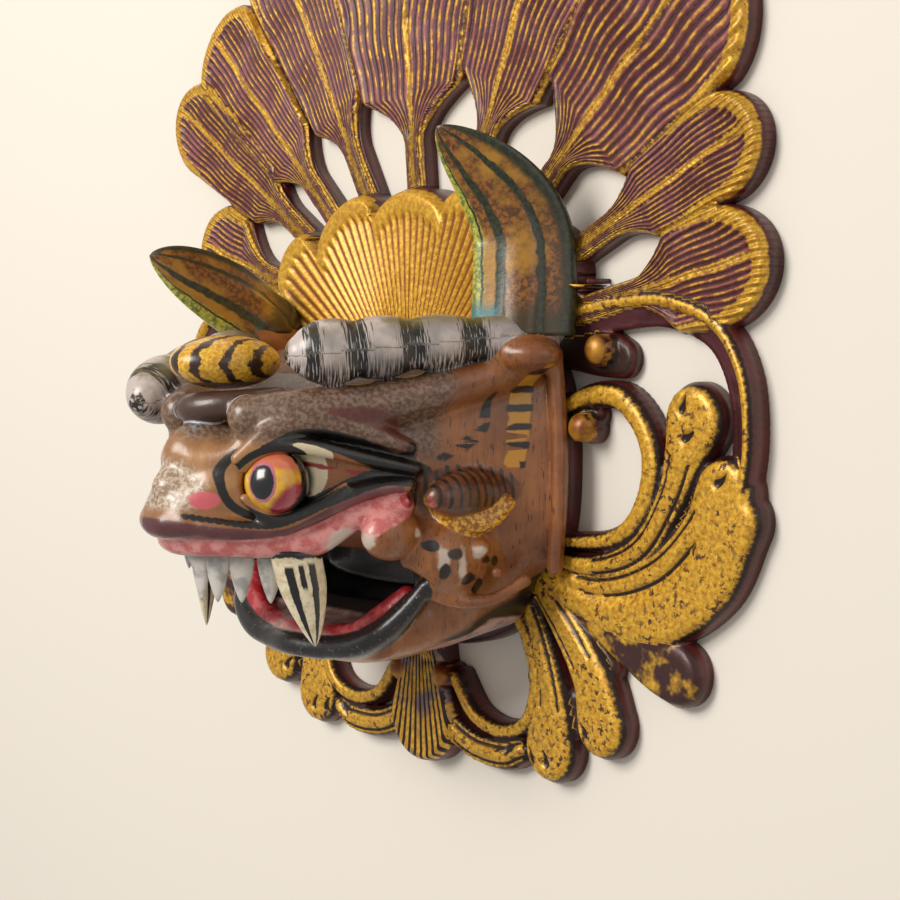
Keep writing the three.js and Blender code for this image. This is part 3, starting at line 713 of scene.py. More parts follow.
def head_paint(x, y, w):
    """Name of each patch and how far each point lies inside it, for the side's places (z, y)."""
    side = 106 - 0.553 * w
    outer = np.abs(x) - (side - 22)            # above 0 on the flanks
    paint = {}
    paint["snout"] = np.minimum(w - 108, y + 24)
    # painted shadow: the brows' shade laid as a grey-brown patch over the upper face
    paint["brow_shadow"] = np.minimum(np.minimum(w - 50, y - 8 + 0.12 * (110 - w)), 6)
    fold = patch([(100, 25, 2), (84, 22, 4), (72, 15, 4), (64, 4, 3)], w, y)
    paint["red_fold"] = np.minimum(fold, outer)
    strokes = patch([(67, 8, 2.5), (64, 2, 3)], w, y)
    strokes = np.maximum(strokes, patch([(31, 32, 1.2), (36, 14, 3), (54, 0, 1.5)], w, y))
    strokes = np.maximum(strokes, patch([(88, 12, 1.2), (81, 3, 1.4)], w, y))
    paint["strokes"] = np.minimum(strokes, outer)
    bars = 1.6 - np.abs(((y + 200) % 8.5) - 4.2)
    band_zone = np.minimum(4.5 - np.abs(w - 19 + 0.12 * (y - 20)), 24 - np.abs(y - 22))
    paint["rear_gold"] = np.minimum(band_zone, outer)
    paint["rear_bars"] = np.minimum(np.minimum(bars, band_zone + 1), outer)
    ring = np.hypot(w - EYE_RIGHT[2] - 3.5, y - EYE_RIGHT[1])
    white = patch([(113, 10, 2), (104, 5, 4.5), (101, -5, 4.5), (105, -18, 1.5)], w, y)
    paint["eye_white"] = np.minimum(white, outer)
    almond = patch([(126, 9, 1.5), (112, 14, 3), (97, 11, 4.5), (82, 5, 5), (68, 0, 4.5),
                    (57, -3, 2.5)], w, y)
    black = np.maximum(almond, 1.7 - np.abs(ring - 15.8))
    under = patch([(150, -22, 1.3), (130, -25.5, 1.6), (118, -24, 2), (100, -15, 2.5), (80, -6, 3.5),
                   (66, -6, 3.5), (56, -9, 1.5)], w, y)
    black = np.maximum(black, under)
    paint["black_line"] = np.minimum(black, outer)
    red = np.maximum(patch([(104, 1, 1), (88, -3, 1.3), (74, -5, 1.4), (62, -4, 1)], w, y),
                     patch([(118, -24, 1), (108, -19, 2.5), (104, -12, 1.5)], w, y))
    paint["red_line"] = np.minimum(red, outer)
    lip = patch([(160, -27, 4), (140, -30, 3.5), (118, -31, 3.5), (104, -25, 4), (88, -15, 3.5),
                 (72, -11, 2.5)], w, y)
    paint["lip"] = np.minimum(lip, y + 34)
    gum = patch([(152, -37, 4.5), (136, -38, 5.5), (116, -37, 6.5), (101, -33, 7.5), (88, -24, 6),
                 (76, -19, 5.5), (67, -17, 5)], w, y)
    paint["gum"] = np.minimum(gum, np.abs(x) - (side - 26))
    paint["gum_hook"] = 1.0 - np.abs(np.hypot(w - 67.5, y + 16) - 2.2)
    paint["gum_line"] = np.minimum(patch([(148, -42, 1.2), (120, -42.5, 1.4), (98, -42, 1.4)], w, y), 3)
    nose = spot(w, y, 152, -8, 12, 12)
    paint["nose_white"] = np.minimum(nose, w - 138)
    paint["nostril"] = np.minimum(spot(w, y, 142, -15, 5, 4), np.abs(x) - 3)
    paint["wart"] = np.maximum(8 - np.sqrt((x - 3) ** 2 + (y - 10) ** 2 + (w - 134) ** 2), -9)
    paint["inside"] = np.minimum(np.minimum(side - 14 - np.abs(x), -41 - y), np.minimum(y + 84, 112 - w))
    floor = np.minimum(-74 - y, np.minimum(82 - w, side - 18 - np.abs(x)))
    paint["floor"] = np.where(y > -88, floor, -9)
    paint["inner_lip"] = 1.2 - INNER_LIP(np.abs(x), y, w)
    paint["lower_lip"] = np.minimum(1.2 - LOWER_LIP(np.abs(x), y, w), y + 94)
    ear = spot(w, y, 42, -12, 24, 11)
    ribs = 0.8 - np.abs(((w + 200) % 4.4) - 2.2)
    paint["ear"] = np.minimum(ear, outer)
    paint["ear_ribs"] = np.minimum(np.minimum(ribs, ear + 1), np.minimum(outer, y + 19))
    paint["ear_gold"] = np.minimum(1.5 - EAR_LIP(np.abs(x), y, w), outer)
    marks = np.full(x.shape, -9.0)
    for mw, my, rw, ry in ((52, -40, 3.5, 2.5), (44, -52, 4, 3), (36, -56, 3, 3.5), (34, -44, 3, 2),
                           (62, -36, 3, 2.5), (56, -48, 2.5, 3.5), (28, -45, 2.5, 2)):
        marks = np.maximum(marks, spot(w, y, mw, my, rw, ry))
    paint["cheek_black"] = np.minimum(marks, outer)
    pale = np.full(x.shape, -9.0)
    for mw, my, rw, ry in ((57, -42, 2.5, 5), (48, -46, 2, 6), (93, -34, 6, 6), (66, -30, 2, 2),
                           (40, -40, 3, 3)):
        pale = np.maximum(pale, spot(w, y, mw, my, rw, ry))
    paint["cheek_pale"] = np.minimum(pale, outer)
    brow = np.maximum(1.5 - BROW_RIGHT(x, y, w), 1.5 - BROW_LEFT(x, y, w))
    paint["brow"] = brow
    gold = ball((0, 46, 116), (22, 12.5, 27))(x, y, w)
    paint["forehead"] = np.minimum(2.0 - gold, y - 37)
    curl = 1.5 - CURL(x, y, w)
    paint["curl"] = np.minimum(curl, 38 - y)
    return paint


PAINTS = [
    "snout", "brow_shadow", "red_fold", "strokes", "rear_gold", "rear_bars", "eye_white", "black_line",
    "red_line", "lip", "gum", "gum_hook", "gum_line", "nose_white", "nostril", "wart", "inside",
    "floor", "inner_lip", "lower_lip", "ear", "ear_ribs", "ear_gold", "cheek_black", "cheek_pale",
    "brow", "forehead", "curl",
]


HEAD_PITCH = 1.25
HEAD_REACH = (np.array([-118, -104, -4.0]), np.array([124, 76, 170.0]))
BROW_LENGTH = 116


def make_head():
    pitch, (lo, hi) = HEAD_PITCH, HEAD_REACH
    axes = [np.arange(lo[k], hi[k], pitch) for k in range(3)]
    x, y, w = np.meshgrid(*axes, indexing="ij")

    def window(low, high):
        cuts = []
        for k in range(3):
            first = max(0, int((low[k] - lo[k]) / pitch))
            last = min(len(axes[k]), int((high[k] - lo[k]) / pitch) + 2)
            cuts.append(slice(first, last))
        return tuple(cuts)

    d = head_distance(x, y, w, window)
    points, quads = skin(d, lo, pitch)
    points[:, 2] += HEAD_BACK
    piece = fast_mesh("mask_head", points, quads)
    thin_out(piece, MOST_TRIANGLES)
    co = coordinates(piece)
    x, y, w = co[:, 0], co[:, 1], co[:, 2] - HEAD_BACK
    paint = head_paint(x, y, w)
    for name in PAINTS:
        give(piece, name, np.clip(paint[name], -9, 9))
    s, angle = np.zeros(len(x)), np.zeros(len(x))
    for tube, on in ((BROW_RIGHT, x > 0), (BROW_LEFT, x <= 0)):
        s[on], angle[on] = tube.place(x[on], y[on], w[on])
    give(piece, "brow_bump", np.interp(s, BROW_EDGES, range(len(BROW_EDGES))))
    give(piece, "brow_along", s * BROW_LENGTH)
    give(piece, "brow_angle", angle)
    give(piece, "curl_depth", np.clip(CURL(x, y, w) + 10, -9, 20))
    give(piece, "forehead_turn", np.degrees(np.arctan2(x, w - 80)))
    to_row(piece)
    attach(piece, "root")
    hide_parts("head")
    return piece


# ---- eyes, teeth and horns
def make_eye(name, eye):
    around, down = 64, 32
    points, faces = [], []
    for i in range(down + 1):
        polar = math.pi * i / down
        for j in range(around):
            turn = 2 * math.pi * j / around
            out = math.sin(polar)
            points.append([out * math.cos(turn), math.cos(polar), out * math.sin(turn)])
    for i in range(down):
        for j in range(around):
            a, b = i * around + j, i * around + (j + 1) % around
            faces.append([a, b, b + around, a + around])
    unit = np.array(points)
    piece = fast_mesh(name, unit * eye[3] + np.array(eye[:3]) + [0, 0, HEAD_BACK], np.array(faces))
    side = 1 if eye[0] > 0 else -1
    gaze = np.array([side * 0.42, 0.08, 0.90])
    gaze /= np.linalg.norm(gaze)
    co = coordinates(piece) - np.array(eye[:3]) - [0, 0, HEAD_BACK]
    co /= np.linalg.norm(co, axis=1, keepdims=True)
    across = np.cross([0, 1, 0], gaze)
    across /= np.linalg.norm(across)
    rise = np.cross(gaze, across)
    give(piece, "gaze", np.arccos(np.clip(co @ gaze, -1, 1)) * eye[3])
    give(piece, "gaze_x", co @ across * eye[3])
    give(piece, "gaze_y", co @ rise * eye[3])
    to_row(piece)
    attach(piece, "root")
    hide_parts("head")
    return piece


def tooth(x, w, top, length, half, turn, lean=0):
    """Rings of a tooth that hangs from the gum: flattened, widest above, closing in a blunt point."""
    rings = []
    rows, around = 22, 24
    for i in range(rows + 1):
        s = i / rows
        width = half * (1 - 0.12 * s) * (1 - clip01((s - 0.3) / 0.7) ** 1.5) ** 0.8 + 0.35
        ring = []
        for j in range(around):
            a = 2 * math.pi * j / around
            across = width * math.cos(a) + lean * s
            thick = 0.55 * width * math.sin(a)
            ring.append([
                x + across * math.cos(turn) + thick * math.sin(turn),
                top - length * s,
                w + HEAD_BACK - across * math.sin(turn) + thick * math.cos(turn),
            ])
        rings.append(ring)
    return np.array(rings)


def make_teeth():
    small = [(3, 132, 0.1), (12, 129, 0.5), (21, 122, 0.7), (31, 113, 0.8)]
    sets = []
    for x, w, turn in small:
        for side in (1, -1):
            length, half = (27, 6.0) if side > 0 else (14, 5.0)
            sets.append((tooth(side * x, w, -36, length, half, side * turn), 0))
    sets.append((tooth(43, 108, -38, 44, 11.5, 1.05, 9), 1))
    sets.append((tooth(-36, 104, -38, 44, 9, -1.05), 1))
    points, faces, kind, down, across = [], [], [], [], []
    for rings, fang in sets:
        rows, around = rings.shape[:2]
        base = len(points)
        for i in range(rows):
            for j in range(around):
                points.append(rings[i, j])
                kind.append(fang)
                down.append(i / (rows - 1))
                across.append(math.cos(2 * math.pi * j / around))
        for i in range(rows - 1):
            for j in range(around):
                a, b = base + i * around + j, base + i * around + (j + 1) % around
                faces.append([a, b, b + around, a + around])
        for row, flip in ((0, True), (rows - 1, False)):
            cap = [base + row * around + j for j in range(around)]
            faces.append(cap[::-1] if flip else cap)
    piece = new_mesh("mask_teeth", [tuple(p) for p in points], faces)
    give(piece, "fang", np.array(kind, float))
    give(piece, "down", np.array(down))
    give(piece, "across", np.array(across))
    to_row(piece)
    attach(piece, "root")
    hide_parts("head")
    return piece


HORN_SEAT = 58.3
HORN_HALF = 24.0
HORN_DEEP = 12.0
HORN_BENDS = {
    1: [(95, 88, 16), (94, 108, 18), (89, 128, 30), (78, 152, 54)],
    -1: [(-95, 76, 50), (-98, 97, 96)],
}


def make_horn(name, node, side):
    foot = (95, HORN_SEAT, 17) if side > 0 else (-90, HORN_SEAT, 28)
    curve = along([list(foot) + [0]] + [list(b) + [0] for b in HORN_BENDS[side]], 60)[0][:, :3]
    tangent = np.gradient(curve, axis=0)
    tangent /= np.linalg.norm(tangent, axis=1, keepdims=True)
    across = np.array([0.75, 0, -0.66]) if side > 0 else np.array([-0.15, 0, -1.0])
    rows, around = len(curve), 72
    points, faces, turn, down = [], [], [], []
    for i in range(rows):
        s = i / (rows - 1)
        t = tangent[i] if i > 4 else np.array([0, 1.0, 0]) * (1 - i / 5) + tangent[i] * (i / 5)
        t /= np.linalg.norm(t)
        wide = across - t * (across @ t)
        wide /= np.linalg.norm(wide)
        thick = -np.cross(t, wide)
        half = HORN_HALF * (1 - s**3) ** 0.7 + 0.2
        deep = HORN_DEEP * (1 - s) ** 0.7 + 0.3
        for j in range(around):
            a = 2 * math.pi * j / around
            c, e = math.cos(a), math.sin(a)
            keel = 0.85 + 0.15 * math.cos(4.5 * c) if e > 0 else 0.8
            groove = 0.10 * math.exp(-(((c + 0.42) / 0.07) ** 2))
            groove += 0.12 * math.exp(-(((c - 0.35) / 0.08) ** 2))
            lift = keel * (1 - (groove if e > 0 else 0) * (1 - s))
            p = curve[i] + wide * half * c + thick * deep * e * lift
            points.append([p[0], max(p[1], HORN_SEAT - 1.5), p[2] + HEAD_BACK])
            turn.append(c if e > 0 else (2 - c if c > 0 else -2 - c))
            down.append(s)
    for i in range(rows - 1):
        for j in range(around):
            a, b = i * around + j, i * around + (j + 1) % around
            faces.append([a, b, b + around, a + around])
    faces.append(list(range(around))[::-1])
    faces.append([(rows - 1) * around + j for j in range(around)])
    piece = new_mesh(name, [tuple(p) for p in points], faces)
    give(piece, "turn", np.array(turn))
    give(piece, "down", np.array(down))
    to_row(piece)
    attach(piece, "root")
    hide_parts(node)
    return piece


# ---- materials
def shade(red, green, blue):
    """A linear colour from screen values of 0 to 255."""
    return tuple(
        ((v / 255 + 0.055) / 1.055) ** 2.4 if v > 10.3 else v / 255 / 12.92 for v in (red, green, blue)
    )


class Graph:
    """A short way to write a material's nodes."""

    def __init__(self, name, roughness=0.5, coat=0.0):
        self.material = bpy.data.materials.new(name)
        self.material.use_nodes = True
        self.tree = self.material.node_tree
        self.nodes, self.links = self.tree.nodes, self.tree.links
        self.shader = self.nodes["Principled BSDF"]
        self.shader.inputs["Roughness"].default_value = roughness
        self.shader.inputs["Coat Weight"].default_value = coat
        self.shader.inputs["Coat Roughness"].default_value = 0.22
        coordinate = self.nodes.new("ShaderNodeTexCoord")
        self.place = coordinate.outputs["Object"]

    def put(self, socket, value):
        if isinstance(value, bpy.types.NodeSocket):
            self.links.new(value, socket)
        elif isinstance(value, tuple) and len(value) == 3 and len(getattr(socket, "default_value", ())) == 4:
            socket.default_value = (*value, 1.0)
        else:
            socket.default_value = value

    def attribute(self, name):
        node = self.nodes.new("ShaderNodeAttribute")
        node.attribute_name = name
        return node.outputs["Fac"]

    def calc(self, operation, a, b=0.0, c=0.0, clamp=False):
        node = self.nodes.new("ShaderNodeMath")
        node.operation = operation
        node.use_clamp = clamp
        for socket, value in zip(node.inputs, (a, b, c)):
            self.put(socket, value)
        return node.outputs[0]

    def times(self, a, b):
        return self.calc("MULTIPLY", a, b)

    def plus(self, a, b):
        return self.calc("ADD", a, b)

    def off(self, value, middle):
        """How far a value is from a middle one."""
        return self.calc("ABSOLUTE", self.plus(value, -middle))

    def stray(self, noise, size):
        """A noise that wanders either side of nothing."""
        return self.times(self.calc("SUBTRACT", noise, 0.5), size)

    def step(self, value, low, high):
        node = self.nodes.new("ShaderNodeMapRange")
        node.interpolation_type = "SMOOTHSTEP"
        for name, v in (("Value", value), ("From Min", low), ("From Max", high)):
            self.put(node.inputs[name], v)
        return node.outputs[0]

    def noise(self, scale, detail=3.0, rough=0.55, stretch=None, distortion=0.0):
        node = self.nodes.new("ShaderNodeTexNoise")
        node.inputs["Scale"].default_value = scale
        node.inputs["Detail"].default_value = detail
        node.inputs["Roughness"].default_value = rough
        node.inputs["Distortion"].default_value = distortion
        if stretch is None:
            self.links.new(self.place, node.inputs["Vector"])
        else:
            mapping = self.nodes.new("ShaderNodeMapping")
            mapping.inputs["Scale"].default_value = stretch
            self.links.new(self.place, mapping.inputs["Vector"])
            self.links.new(mapping.outputs[0], node.inputs["Vector"])
        return node.outputs["Fac"]

    def mix(self, share, a, b):
        node = self.nodes.new("ShaderNodeMix")
        node.data_type = "RGBA"
        self.put(node.inputs[0], share)
        self.put(node.inputs[6], a)
        self.put(node.inputs[7], b)
        return node.outputs[2]

    def fade(self, value, low, high, a, b):
        """From a to b as the value goes from low to high."""
        return self.mix(self.step(value, low, high), a, b)

    def blend(self, share, a, b):
        """The same for plain numbers."""
        node = self.nodes.new("ShaderNodeMix")
        node.data_type = "FLOAT"
        self.put(node.inputs[0], share)
        self.put(node.inputs[2], a)
        self.put(node.inputs[3], b)
        return node.outputs[0]

    def less(self, value):
        return self.calc("SUBTRACT", 1.0, value)

    def bump(self, height, distance, strength=1.0, onto=None):
        node = self.nodes.new("ShaderNodeBump")
        node.inputs["Strength"].default_value = strength
        node.inputs["Distance"].default_value = distance
        self.put(node.inputs["Height"], height)
        if onto is not None:
            self.links.new(onto, node.inputs["Normal"])
        return node.outputs[0]

    def finish(self, colour, roughness=None, metal=None, normal=None):
        self.put(self.shader.inputs["Base Color"], colour)
        if roughness is not None:
            self.put(self.shader.inputs["Roughness"], roughness)
        if metal is not None:
            self.put(self.shader.inputs["Metallic"], metal)
        if normal is not None:
            self.links.new(normal, self.shader.inputs["Normal"])
        return self.material


GOLD = shade(238, 190, 58)
OLD_GOLD = shade(198, 140, 34)
DARK = shade(38, 18, 14)
MAROON = shade(112, 44, 48)
ROSE = shade(150, 84, 96)
WALL = shade(88, 26, 22)


def panel_material():
    g = Graph("gilded panel", roughness=0.42, coat=0.25)
    outline, own, rib = g.attribute("outline"), g.attribute("own"), g.attribute("rib")
    gilt, mark, level = g.attribute("gilt"), g.attribute("mark"), g.attribute("level")
    broad, fine, grit = g.noise(38, 4), g.noise(420, 4, 0.65), g.noise(900, 3, 0.7)
    # the feathers: rose and maroon between gold barbs
    ground = g.fade(broad, 0.35, 0.65, MAROON, ROSE)
    wave = g.calc("SINE", g.times(rib, 2 * math.pi))
    ragged = g.plus(wave, g.stray(fine, 1.5))
    ground = g.fade(ragged, -0.35, -0.8, ground, shade(58, 20, 22))
    worn = g.step(g.noise(120, 4, 0.6), 0.42, 0.60)
    barb = g.times(g.step(ragged, 0.35, 0.65), g.blend(worn, 0.15, 1.0))
    rim = g.plus(gilt, g.stray(fine, 5.0))
    rim = g.times(g.step(rim, -0.6, 0.8), g.step(grit, 0.30, 0.46))
    gold = g.fade(fine, 0.35, 0.7, OLD_GOLD, GOLD)
    leafed = g.calc("MAXIMUM", barb, rim)
    feather = g.mix(leafed, ground, gold)
    # the crest: plain gold above, brown between its flutes
    flute = g.calc("COSINE", g.times(rib, 2 * math.pi))
    between = g.times(g.step(flute, 0.0, -0.7), gilt)
    crest = g.mix(g.times(between, 0.9), gold, shade(132, 66, 16))
    crest = g.mix(g.times(g.step(grit, 0.62, 0.72), 0.25), crest, shade(120, 70, 30))
    # leaves and scrolls: speckled gold, darkened by painted shade in the grooves
    speckle = g.step(g.noise(330, 3, 0.6), 0.53, 0.60)
    patchy = g.blend(g.step(g.noise(60, 3), 0.40, 0.62), 0.35, 1.0)
    leaf = g.mix(g.times(speckle, patchy), gold, shade(84, 50, 40))
    # painted shade: each element goes dark near its own edge, where it falls into a groove
    groove = g.step(g.plus(own, g.stray(fine, 2.0)), 2.8, 1.6)
    leaf = g.mix(groove, leaf, DARK)
    leaf = g.fade(mark, -0.5, 0.2, leaf, DARK)
    mauve = g.fade(broad, 0.4, 0.6, shade(98, 52, 60), shade(70, 30, 34))
    arc = g.fade(gilt, -0.08, 0.02, leaf, mauve)
    dark_leaf = g.fade(g.noise(70, 3), 0.45, 0.60, shade(66, 34, 34), gold)
    stripes = g.calc("COSINE", g.times(rib, 2 * math.pi))
    petal = g.fade(stripes, 0.1, -0.4, g.fade(broad, 0.45, 0.6, gold, shade(122, 100, 108)), DARK)
    bead = g.fade(broad, 0.4, 0.6, OLD_GOLD, shade(120, 56, 20))
    colour = leaf
    for name, layer in (("fan", feather), ("crest", crest), ("plain", shade(52, 26, 18)), ("arc", arc),
                        ("dark_leaf", dark_leaf), ("petal", petal), ("bead", bead)):
        colour = g.fade(g.attribute(name), 0.35, 0.65, colour, layer)
    # painted shade in the grooves between neighbours, and the dark red wall all round
    crease_shade = g.times(g.step(own, 1.4, 0.3), g.step(outline, 1.5, 3.0))
    colour = g.mix(crease_shade, colour, shade(40, 12, 12))
    wall = g.calc("MAXIMUM", g.step(g.plus(outline, g.times(fine, 0.8)), 1.5, 0.9), g.step(level, 6.2, 5.4))
    colour = g.mix(wall, colour, g.fade(broad, 0.4, 0.65, WALL, shade(64, 20, 16)))
    metal = g.times(g.step(g.plus(leafed, g.less(g.attribute("fan"))), 0.5, 1.0), 0.35)
    metal = g.times(metal, g.less(wall))
    rough = g.blend(fine, 0.32, 0.55)
    ribs = g.times(g.attribute("fan"), wave)
    relief = g.bump(ribs, 0.0007, 0.8)
    relief = g.bump(fine, 0.0004, 0.6, relief)
    return g.finish(colour, rough, metal, relief)


def head_material():
    g = Graph("painted head", roughness=0.35, coat=0.5)
    fine, broad, grit = g.noise(500, 4, 0.6), g.noise(45, 4), g.noise(160, 4, 0.6)
    # bare wood: pores drawn out along the grain (up the mask)
    grain = g.noise(1.0, 4, 0.6, stretch=(420.0, 26.0, 420.0))
    pores = g.noise(1.0, 2, 0.5, stretch=(900.0, 130.0, 900.0))
    wood = g.fade(broad, 0.3, 0.7, shade(126, 72, 36), shade(164, 104, 56))
    wood = g.mix(g.times(g.step(grain, 0.45, 0.75), 0.5), wood, shade(98, 50, 24))
    wood = g.mix(g.times(g.step(pores, 0.62, 0.70), 0.8), wood, shade(58, 28, 16))
    colour = wood
    rag = g.stray(grit, 1.6)

    def over(name, layer, low=-0.35, high=0.35, ragged=1.0, share=1.0):
        nonlocal colour
        value = g.plus(g.attribute(name), g.times(rag, ragged))
        colour = g.mix(g.times(g.step(value, low, high), share), colour, layer)

    tan = g.fade(broad, 0.35, 0.65, shade(150, 104, 62), shade(186, 140, 92))
    over("snout", tan, -8, 6, 3, 0.75)
    # painted shadow under the brows, in a mottled grey-brown
    brow_shade_tone = g.fade(fine, 0.4, 0.62, shade(78, 58, 48), shade(128, 108, 94))
    over("brow_shadow", brow_shade_tone, -4, 6, 4, 0.85)
    over("red_fold", shade(96, 38, 34), -1, 1, 2, 0.8)
    over("strokes", shade(22, 12, 12), -0.5, 0.5, 1)
    over("rear_gold", OLD_GOLD, -0.5, 0.5, 1)
    over("rear_bars", shade(24, 12, 10), -0.4, 0.4, 1)
    over("eye_white", shade(226, 212, 178), -0.4, 0.2, 0.6)
    over("lip", g.fade(broad, 0.4, 0.6, shade(88, 44, 48), shade(116, 66, 68)), -0.5, 0.5, 0.6)
    over("gum", g.fade(grit, 0.4, 0.62, shade(196, 100, 98), shade(222, 150, 146)), -0.5, 0.4, 0.8)
    over("red_line", shade(150, 30, 34), -0.5, 0.3, 1)
    over("black_line", shade(18, 15, 15), -0.4, 0.2, 0.7)
    over("gum_line", shade(34, 28, 28), -0.5, 0.3, 1)
    over("gum_hook", shade(176, 44, 52), -0.4, 0.3, 0.5)
    crackle = g.fade(fine, 0.42, 0.58, shade(206, 190, 170), shade(150, 124, 100))
    over("nose_white", crackle, -2, 3, 3, 0.85)
    over("nostril", shade(206, 96, 104), -0.8, 0.5, 1)
    over("wart", g.fade(fine, 0.4, 0.6, shade(60, 54, 54), shade(146, 138, 136)), -1.5, 1.5, 3)
    over("ear", g.fade(grit, 0.4, 0.6, shade(78, 38, 20), shade(112, 62, 26)), -1, 1, 1)
    over("ear_ribs", shade(30, 16, 12), -0.4, 0.4, 1)
    over("ear_gold", g.fade(fine, 0.42, 0.6, shade(150, 92, 24), shade(232, 174, 60)), -0.6, 0.5, 1)
    over("cheek_pale", shade(206, 192, 178), -1, 0.8, 3, 0.9)
    over("cheek_black", shade(24, 14, 12), -0.6, 0.4, 2)
    over("inside", shade(12, 7, 6), -1, 1.5, 0.5)
    over("floor", g.fade(grit, 0.4, 0.6, shade(150, 120, 116), shade(196, 156, 150)), -1, 1, 0.5)
    over("inner_lip", g.fade(grit, 0.42, 0.6, shade(168, 28, 36), shade(206, 84, 88)), -0.6, 0.4, 1)
    over("lower_lip", g.fade(fine, 0.62, 0.70, shade(22, 18, 19), shade(120, 116, 118)), -0.5, 0.4, 0.8)
    # brows: pale swellings with black between, all drawn over with fine hairs
    bump, along_brow, turn = g.attribute("brow_bump"), g.attribute("brow_along"), g.attribute("brow_angle")
    swell = g.calc("ABSOLUTE", g.calc("SINE", g.times(bump, math.pi)))
    hair = g.noise(1.0, 2, 0.5)
    combine = g.nodes.new("ShaderNodeCombineXYZ")
    g.put(combine.inputs[0], g.times(along_brow, 1.3))
    g.put(combine.inputs[1], g.times(turn, 1.1))
    g.links.new(combine.outputs[0], hair.node.inputs["Vector"])
    hair.node.inputs["Scale"].default_value = 1.0
    pale = g.fade(broad, 0.4, 0.6, shade(196, 182, 176), shade(150, 142, 140))
    low = g.step(g.plus(swell, g.stray(hair, 1.5)), 0.50, 0.68)
    below = g.step(g.calc("SINE", turn), -0.1, -0.75)
    low = g.times(low, g.less(g.times(below, g.step(hair, 0.60, 0.42))))
    brow = g.mix(low, shade(20, 18, 17), pale)
    streak = g.times(g.step(hair, 0.56, 0.62), 0.8)
    brow = g.mix(g.times(streak, g.less(low)), brow, shade(190, 184, 180))
    olive = g.times(g.step(g.calc("SINE", turn), 0.45, 0.9), g.step(broad, 0.38, 0.55))
    brow = g.mix(g.times(olive, 0.6), brow, shade(120, 104, 40))
    over("brow", brow, -0.3, 0.3, 0.6)
    rays = g.calc("SINE", g.plus(g.times(g.attribute("forehead_turn"), 0.55), g.times(grit, 5)))
    forehead = g.fade(rays, 0.35, 0.75, g.fade(fine, 0.4, 0.6, OLD_GOLD, GOLD), shade(50, 24, 18))
    over("forehead", forehead, -0.4, 0.4, 1)
    lines = g.calc("SINE", g.times(g.attribute("curl_depth"), 2.4))
    curl = g.fade(broad, 0.4, 0.6, shade(150, 166, 186), shade(190, 176, 160))
    curl = g.fade(lines, 0.0, 0.5, shade(74, 50, 42), curl)
    over("curl", curl, -0.5, 0.5, 1)
    relief = g.bump(grain, 0.0003, 0.5)
    relief = g.bump(fine, 0.0003, 0.5, relief)
    return g.finish(colour, g.blend(fine, 0.26, 0.5), None, relief)


def eye_material():
    g = Graph("painted eye", roughness=0.12, coat=1.0)
    gaze, across, up = g.attribute("gaze"), g.attribute("gaze_x"), g.attribute("gaze_y")
    rag = g.stray(g.noise(260, 4, 0.6), 3.0)
    colour = g.fade(g.noise(90, 3), 0.4, 0.6, shade(214, 156, 20), shade(236, 186, 40))
    high = g.plus(up, rag)
    colour = g.mix(g.times(g.step(high, 4.0, 7.5), 0.85), colour, shade(206, 96, 84))
    low = g.plus(g.calc("SUBTRACT", across, up), rag)
    colour = g.fade(low, 11.0, 15.0, colour, shade(158, 24, 52))
    oval = g.calc("POWER", g.plus(g.calc("POWER", g.times(g.calc("ABSOLUTE", across), 1.12), 2.0),
                                  g.calc("POWER", g.times(g.calc("ABSOLUTE", up), 0.88), 2.0)), 0.5)
    edge = g.plus(oval, g.times(rag, 0.45))
    colour = g.fade(edge, 8.2, 7.6, colour, shade(190, 110, 130))
    colour = g.fade(edge, 7.0, 6.4, colour, shade(14, 14, 20))
    colour = g.fade(g.plus(gaze, rag), 19.0, 20.5, colour, shade(20, 14, 14))
    return g.finish(colour)


def teeth_material():
    g = Graph("painted teeth", roughness=0.3, coat=0.5)
    fang, down, across = g.attribute("fang"), g.attribute("down"), g.attribute("across")
    fine = g.noise(300, 4, 0.6)
    small = g.fade(g.noise(120, 3), 0.4, 0.62, shade(206, 200, 192), shade(160, 156, 154))
    small = g.fade(g.plus(down, g.times(fine, 0.08)), 0.10, 0.05, small, shade(40, 34, 34))
    ivory = g.fade(fine, 0.4, 0.65, shade(232, 220, 190), shade(206, 188, 152))
    rag = g.stray(fine, 0.12)
    place = g.plus(across, rag)
    stripe = g.times(g.step(g.off(place, -0.42), 0.20, 0.15), g.step(down, 0.14, 0.18))
    second = g.times(g.step(g.off(place, 0.05), 0.13, 0.09),
                    g.times(g.step(down, 0.12, 0.16), g.step(down, 0.42, 0.36)))
    third = g.times(g.step(g.off(place, 0.48), 0.17, 0.12), g.step(down, 0.10, 0.15))
    top = g.step(g.plus(down, rag), 0.09, 0.06)
    black = g.calc("MAXIMUM", g.calc("MAXIMUM", stripe, second), g.calc("MAXIMUM", third, top))
    striped = g.mix(black, ivory, shade(20, 17, 17))
    colour = g.mix(fang, small, striped)
    return g.finish(colour, None, None, g.bump(fine, 0.0003, 0.4))


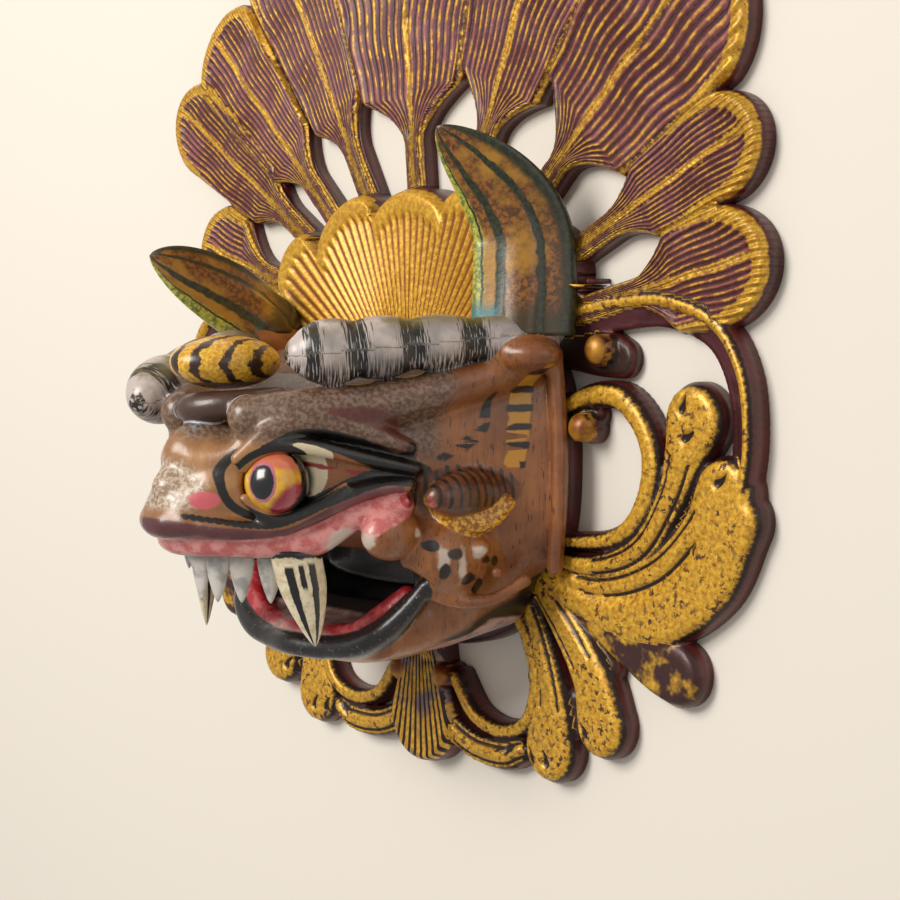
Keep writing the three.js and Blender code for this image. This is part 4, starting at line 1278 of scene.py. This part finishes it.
def horn_material():
    g = Graph("painted horn", roughness=0.35, coat=0.5)
    turn, down = g.attribute("turn"), g.attribute("down")
    fine, broad = g.noise(420, 4, 0.65), g.noise(50, 4)
    rag = g.stray(g.noise(140, 4, 0.6), 0.16)
    place = g.plus(turn, rag)
    rust = g.fade(fine, 0.40, 0.58, shade(150, 92, 26), shade(84, 50, 20))
    rust = g.fade(broad, 0.45, 0.65, rust, shade(176, 126, 34))
    green = g.fade(fine, 0.42, 0.62, shade(20, 30, 18), shade(52, 58, 20))
    lime = g.fade(fine, 0.40, 0.60, shade(196, 190, 70), shade(104, 120, 50))
    # the right side and the back go dark green: the horn's green paint, darkened by painted shade
    colour = g.fade(place, 0.62, 0.80, rust, green)
    colour = g.fade(g.off(place, -0.42), 0.13, 0.08, colour, green)
    colour = g.fade(g.off(place, 0.35), 0.10, 0.06, colour, green)
    # the left edge goes bright lime: its yellow-green paint, lightened by a painted highlight
    colour = g.fade(place, -0.72, -0.80, colour, lime)
    line = g.step(g.off(place, -0.80), 0.035, 0.015)
    colour = g.mix(line, colour, green)
    foot = g.step(g.plus(down, g.stray(fine, 0.15)), 0.16, 0.06)
    low = g.times(foot, g.step(place, -0.35, -0.55))
    colour = g.mix(g.times(foot, 0.8), colour, green)
    colour = g.mix(low, colour, shade(60, 132, 136))
    return g.finish(colour, g.blend(fine, 0.25, 0.5), None, g.bump(fine, 0.0004, 0.5))


# ---- the scene
panel = make_panel()
head = make_head()
eyes = [make_eye("eye_right", EYE_RIGHT), make_eye("eye_left", EYE_LEFT)]
teeth = make_teeth()
horns = [make_horn("mask_horn_right", "horn_right", 1), make_horn("mask_horn_left", "horn_left", -1)]
panel.data.materials.append(panel_material())
head.data.materials.append(head_material())
eye_paint = eye_material()
for eye in eyes:
    eye.data.materials.append(eye_paint)
teeth.data.materials.append(teeth_material())
horn_paint = horn_material()
for horn in horns:
    horn.data.materials.append(horn_paint)


def make_floor():
    reach = 6.0
    corners = [(-reach, -reach, 0), (reach, -reach, 0), (reach, reach, 0), (-reach, reach, 0)]
    floor = new_mesh("floor", [(x, y, -0.0005) for x, y, _ in corners], [(0, 1, 2, 3)])
    g = Graph("pale floor", roughness=0.9)
    floor.data.materials.append(g.finish(shade(238, 231, 220)))


make_floor()

world = bpy.data.worlds.new("room")
bpy.context.scene.world = world
world.use_nodes = True
world.node_tree.nodes["Background"].inputs["Color"].default_value = (*shade(244, 240, 234), 1.0)
world.node_tree.nodes["Background"].inputs["Strength"].default_value = 0.45


def lamp(name, place, size, power, colour):
    light = bpy.data.lights.new(name, "AREA")
    light.size = size
    light.energy = power
    light.color = colour
    thing = bpy.data.objects.new(name, light)
    thing.location = place
    thing.rotation_mode = "QUATERNION"
    thing.rotation_quaternion = (origin - Vector(place)).to_track_quat("-Z", "Y")
    bpy.context.scene.collection.objects.link(thing)


lamp("key", origin + (-view_right * 1.5 + to_camera * 0.9 + view_up * 0.8), 0.9, 31.0, (1.0, 0.97, 0.92))
lamp("fill", origin + (view_right * 1.2 + to_camera * 1.6 + view_up * 0.6), 1.6, 6.0, (1.0, 0.98, 0.96))

bpy.context.scene.view_settings.view_transform = "Standard"
